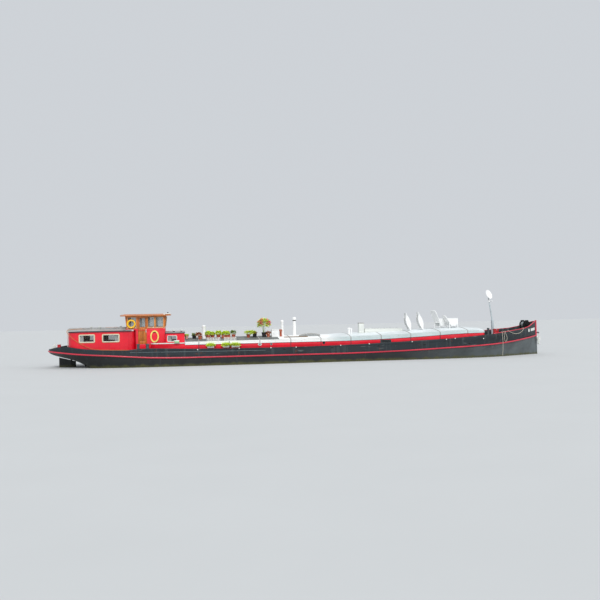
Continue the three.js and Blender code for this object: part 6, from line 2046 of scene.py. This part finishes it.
def armchair_parts(place, ground, back, lean):
    """One deck armchair's tubes, panels and slats, made in its own frame and put in place."""
    half, seat = ARMCHAIR_HALF, ground + 0.33
    edge, arm = half - 0.025, ground + 0.53
    tubes, webs = [], []
    for side in (-edge, edge):
        for at in (-edge, edge):
            foot = place @ Vector((at, side, 0))
            tubes.append(rod((at, side, roof_top(foot.x, foot.y) + 0.004), (at, side, ground + 0.55), 0.024,
                0.019, edge=0.004))
        tubes.append(slab((-half - 0.058, side - 0.03, ground + 0.525), (half, side + 0.03, ground + 0.56),
            0.014, 3))
        fore = [(half - 0.13, ground + 0.09), (half - 0.01, seat - 0.06), (half - 0.01, arm)]
        outline = [(-x, z) for x, z in reversed(fore)] + fore
        tubes.append(rounded(prism(outline, side - 0.013, side + 0.013), 0.006))
        tubes += boards([(0.03 - half, side - 0.018, ground + rise - 0.014, half - 0.03, side + 0.018,
            ground + rise + 0.014) for rise in (0.37, 0.43, 0.49)])
    rear, slip = 0.03 - half, math.tan(math.radians(lean)) * back
    arch = [(rear - slip * share, rear, seat + back * share) for share in spread(6, 0.0, 0.84)]
    arch += [(rear - slip * 0.95, 0.07 - half, seat + back * 0.95), (rear - slip * 0.975, 0.15 - half,
        seat + back * 0.972)]
    tubes.append(pipe(arch + [(u, -v, z) for u, v, z in reversed(arch)], 0.021, 14))
    for share in spread(int(20 * back), 0.06, 0.93):
        u, z, wide = rear - slip * share, seat + back * share, half - (0.03 if share < 0.84 else 0.09)
        webs.append(slab((u - 0.012, -wide, z - 0.021), (u + 0.012, wide, z + 0.021), 0.005))
    seats = [(u - 0.037, rear, seat - 0.03, u + 0.037, -rear, seat - 0.004) for u in spread(7, 0.05 - half,
        half - 0.05)]
    webs += boards([*seats, (half - 0.03, rear, seat - 0.08, half - 0.004, -rear, seat - 0.02)], 0.008)
    return [[settled(part, place) for part in parts] for parts in (tubes, webs)]


def armchairs():
    """Two white deck armchairs, the after one turned and with a high arched back."""
    for name, x, y, back, lean, turn in ARMCHAIRS:
        place = Matrix.Translation((x, y, 0)) @ Matrix.Rotation(math.radians(turn), 4, "Z")
        tubes, webs = armchair_parts(place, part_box(name)[1].z - back - 0.33, back, lean)
        piece(f"{name}_frame", tubes, "white_plastic", nodes=[name], smooth=50)
        piece(f"{name}_slats", webs, "white_plastic")


# Bow gear
MAST_PIN = Vector((12.06, 0, 2.12))
MAST_LEAN = math.radians(8.5)


def on_mast(up, ahead=0.0, y=0.0):
    """A place on the leaning mast, up from its pin and forward of it."""
    return MAST_PIN + Vector((-up * math.sin(MAST_LEAN) + ahead * math.cos(MAST_LEAN), y,
        up * math.cos(MAST_LEAN) + ahead * math.sin(MAST_LEAN)))


def mast():
    """The short hinged mast with its lamp, aerial and dish."""
    axis = on_mast(1) - on_mast(0)
    pole = turned([(0, -0.075), (0.046, -0.073), (0.05, -0.06), (0.05, 0.2), (0.038, 1.13), (0.041, 1.14),
        (0.041, 1.17), (0.036, 1.19), (0, 1.192)], on_mast(0), axis, 20)
    bands = [hoop(on_mast(up), radius, 0.005, axis, 28, 8) for up, radius in ((0.25, 0.05), (0.62, 0.045),
        (1.02, 0.04))]
    pin = rod((12.06, -0.092, 2.12), (12.06, 0.092, 2.12), 0.0218, sides=20, edge=0.004)
    piece("mast_pole", [pole, *bands, pin], "pale_mast", "mast", "grey_paint", ["mast"], 45)
    bracket = spun([(0.028, 0), (0.022, 0.53)], on_mast(1.17), axis, 16)
    lamp = spun([(0.06, 0), (0.06, 0.02), (0.052, 0.025), (0.052, 0.115), (0.064, 0.12), (0.066, 0.135),
        (0.03, 0.15)], on_mast(1.24), axis, 24)
    arm = pipe([on_mast(1.22), on_mast(1.235, 0.1), on_mast(1.25, 0.2)], 0.01, 10)
    piece("mast_bracket", [bracket, arm], "galvanised_steel", "mast", "galvanised_steel", smooth=45)
    feed = spun([(0.024, 0), (0.028, 0.02), (0.028, 0.055), (0.02, 0.07)], on_mast(1.23, 0.19), axis, 18)
    piece("mast_lamp", [lamp, feed], "white_plastic", "mast", "white_plastic", smooth=45)
    tilt = Matrix.Rotation(math.radians(35), 4, "Z") @ Matrix.Rotation(math.radians(90 - 22), 4, "X")
    deep = [(0.3 * k / 12, 0.075 * (k / 12) ** 2) for k in range(13)]
    outline = deep + [(0.3, 0.066)] + [(r, z - 0.012) for r, z in reversed(deep[:-1])]
    bowl = turned(outline, sides=40)
    centre = on_mast(1.7) + Vector((0, -0.02, 0))
    bowl = settled(bowl, Matrix.Translation(centre) @ tilt)
    piece("dish", [bowl], "white_plastic", "mast", "white_plastic", smooth=50)


def tabernacle_and_bollards():
    """Mast tabernacle, bollards and their caps."""
    cap = spun([(0.03, 0), (0.03, 0.012), (0.014, 0.02)], (12.06, 0.093, 2.12), (0, 1, 0), 14)
    dress("mast_tabernacle", "pale_mast", 0.008, extra=both_sides(cap))
    for which in ("midship", "bow"):
        for side in ("starboard", "port"):
            dress(f"{which}_bollards_{side}", "grey_iron", 0.01, smooth=40, segments=3)
    bolts = []
    for x0, y, dx, dy in ((-9.5, -2.18, 0.44, 0.09), (12.39, -1.15, 0.27, 0.075)):
        top = top_of("midship_bollards_starboard" if x0 < 0 else "bow_bollards_starboard", x0 + dx,
            y + dy) - 0.001
        for sx in (-1, 1):
            for sy in (-1, 1):
                at = Vector((x0 + sx * dx, y + sy * dy, top))
                bolts.append(rod(at, at + UP * 0.012, 0.014, sides=6))
    piece("bollard_bolts", both_sides(*bolts), "black_iron")


def windlass():
    """The hand windlass: braced cheeks, drum with wound wire, gear and warping ends."""
    x, _, z = middle = (14.2, 0, 1.88)
    webs = []
    for y in (-0.332, 0.332):
        webs.append(plate(0.2, 0.62, 0.04, 0.006, facing((x, y, 1.55), (0, y, 0)), 0.002))
        boss = [(0, 0), (0.075, 0), (0.075, 0.004), (0.06, 0.0045), (0.039, 0.0045), (0.0375, 0)]
        webs.append(turned(boss, (x, y * 0.991, z), (0, y, 0), 28))
    dress("windlass_frame", "black_iron", 0.008, extra=webs, smooth=40)
    fore = [(0.15, 0.25), (0.235, 0.25), (0.24, 0.255), (0.24, 0.275), (0.235, 0.28), (0.035, 0.28),
        (0.035, 0.465), (0.033, 0.47)]
    spool = spun([(radius, -y) for radius, y in reversed(fore)] + fore, middle, PORT, 48)
    end = [(0.03, 0.338), (0.078, 0.338), (0.08, 0.345), (0.069, 0.38), (0.07, 0.42), (0.09, 0.455),
        (0.11, 0.462), (0.108, 0.47), (0.03, 0.47)]
    ends = []
    for way in (-1, 1):
        ends.append(turned(end, middle, (0, way, 0), 32))
        for angle in spread(8, 0, math.tau * 7 / 8):
            across, up = x + 0.19 * math.cos(angle), z + 0.19 * math.sin(angle)
            ends.append(rod((across, way * 0.251, up), (across, way * 0.235, up), 0.012, sides=6))
    piece("windlass_drum_fine", [spool, *ends], "black_iron", "windlass", "black_iron", ["windlass_drum"],
        40)
    wire = [hoop((x, -0.235 + 0.0235 * k, z), 0.16, 0.0115, PORT, 32, 8) for k in range(21)]
    piece("windlass_wire", wire, "galvanised_steel", "windlass", "galvanised_steel", smooth=60)


def anchor():
    """The anchor hung at the stem: forged shank, crown, flukes and palms."""
    turn = Matrix.Translation((15.11, 0, 0)) @ Matrix.Rotation(math.radians(50), 4, "Z")
    shank = slab((-0.025, -0.025, 0.61), (0.025, 0.025, 1.41), 0.012, 3)
    head = slab((-0.058, -0.058, 0.592), (0.058, 0.058, 0.698), 0.02, 3)
    stop = slab((-0.054, -0.054, 1.381), (0.054, 0.054, 1.419), 0.01, 3)
    arms = []
    for way in (-1, 1):
        outline = [(0.02, 0.66), (0.06, 0.655), (0.09, 0.672), (0.2, 0.8), (0.327, 1.055), (0.302, 1.117),
            (0.225, 1.035), (0.13, 0.86), (0.02, 0.755)]
        arms.append(rounded(prism([(way * u, z) for u, z in outline], -0.022, 0.022), 0.006))
        palm = [(0.205, 0.84), (0.318, 1.06), (0.302, 1.112), (0.235, 1.04), (0.16, 0.89)]
        arms.append(rounded(prism([(way * u, z) for u, z in palm], -0.044, 0.044), 0.008))
    parts = [settled(part, turn) for part in [shank, head, stop, *arms]]
    piece("anchor_fine", parts, "white_paint", slot="galvanised_steel", nodes=["anchor"], smooth=38)


def lifebuoy():
    """The yellow lifebuoy with its grab line."""
    centre = Vector((-10.16, -1.5523, 2.44))
    ring = settled(hoop((0, 0, 0), 0.205, 0.0515, UP, 48, 20), Matrix.Translation(centre)
        @ aim((0, 1, 0)).to_matrix().to_4x4())
    piece("lifebuoy_ring", [ring], "yellow_plastic", nodes=["lifebuoy"], smooth=60)
    line = []
    for k in range(32):
        angle = math.tau * (k + 4) / 32
        reach = 0.245 - 0.028 * math.sin(math.pi * (k % 8) / 8)
        line.append(centre + Vector((math.cos(angle) * reach, -0.037, math.sin(angle) * reach)))
    piece("lifebuoy_line", [pipe(line, 0.005, 8, ring=True)], "hose_plastic", smooth=60)


class BARGE_OT_hold(bpy.types.Operator):
    """Coaming, hold roof and the things that stand on it."""
    bl_idname = "barge.hold"
    bl_label = "Hold roof"

    def execute(self, context):
        return made(coaming, hold_roof, roof_furniture)


class BARGE_OT_plants(bpy.types.Operator):
    """Pots, leaves, flowers, racks and deck boxes."""
    bl_idname = "barge.plants"
    bl_label = "Plants"

    def execute(self, context):
        return made(plants, edge_racks, edge_planters, deck_boxes)


class BARGE_OT_seats(bpy.types.Operator):
    """Deck chairs and armchairs."""
    bl_idname = "barge.seats"
    bl_label = "Seats"

    def execute(self, context):
        return made(folding_chairs, armchairs)


class BARGE_OT_bow(bpy.types.Operator):
    """Mast, tabernacle, windlass, anchor, bollards and lifebuoy."""
    bl_idname = "barge.bow"
    bl_label = "Deck gear"

    def execute(self, context):
        return made(mast, tabernacle_and_bollards, windlass, anchor, lifebuoy)


STEPS = (BARGE_OT_stage, BARGE_OT_ropes, BARGE_OT_hull, BARGE_OT_aft_cabin, BARGE_OT_wheelhouse,
    BARGE_OT_trunk, BARGE_OT_hold, BARGE_OT_plants, BARGE_OT_seats, BARGE_OT_bow)


class BARGE_PT_panel(bpy.types.Panel):
    """The barge's steps, sizes and colours."""
    bl_idname = "BARGE_PT_panel"
    bl_label = "River Barge"
    bl_space_type = "VIEW_3D"
    bl_region_type = "UI"
    bl_category = "Barge"

    def draw(self, context):
        for step in STEPS:
            self.layout.operator(step.bl_idname)
        for group in (context.scene.barge_sizes, context.scene.barge_colours):
            box = self.layout.box()
            for key in group.__annotations__:
                box.prop(group, key)


CLASSES = (BargeColours, BargeSizes, *STEPS, BARGE_PT_panel)


def register():
    """Make the properties, operators and panel known."""
    for cls in CLASSES:
        bpy.utils.register_class(cls)
    bpy.types.Scene.barge_colours = bpy.props.PointerProperty(type=BargeColours)
    bpy.types.Scene.barge_sizes = bpy.props.PointerProperty(type=BargeSizes)


def unregister():
    """Take them away again."""
    del bpy.types.Scene.barge_sizes
    del bpy.types.Scene.barge_colours
    for cls in reversed(CLASSES):
        bpy.utils.unregister_class(cls)


def main():
    """Make the whole scene."""
    register()
    for step in STEPS:
        group, name = step.bl_idname.split(".")
        getattr(getattr(bpy.ops, group), name)()


if __name__ == "__main__":
    main()
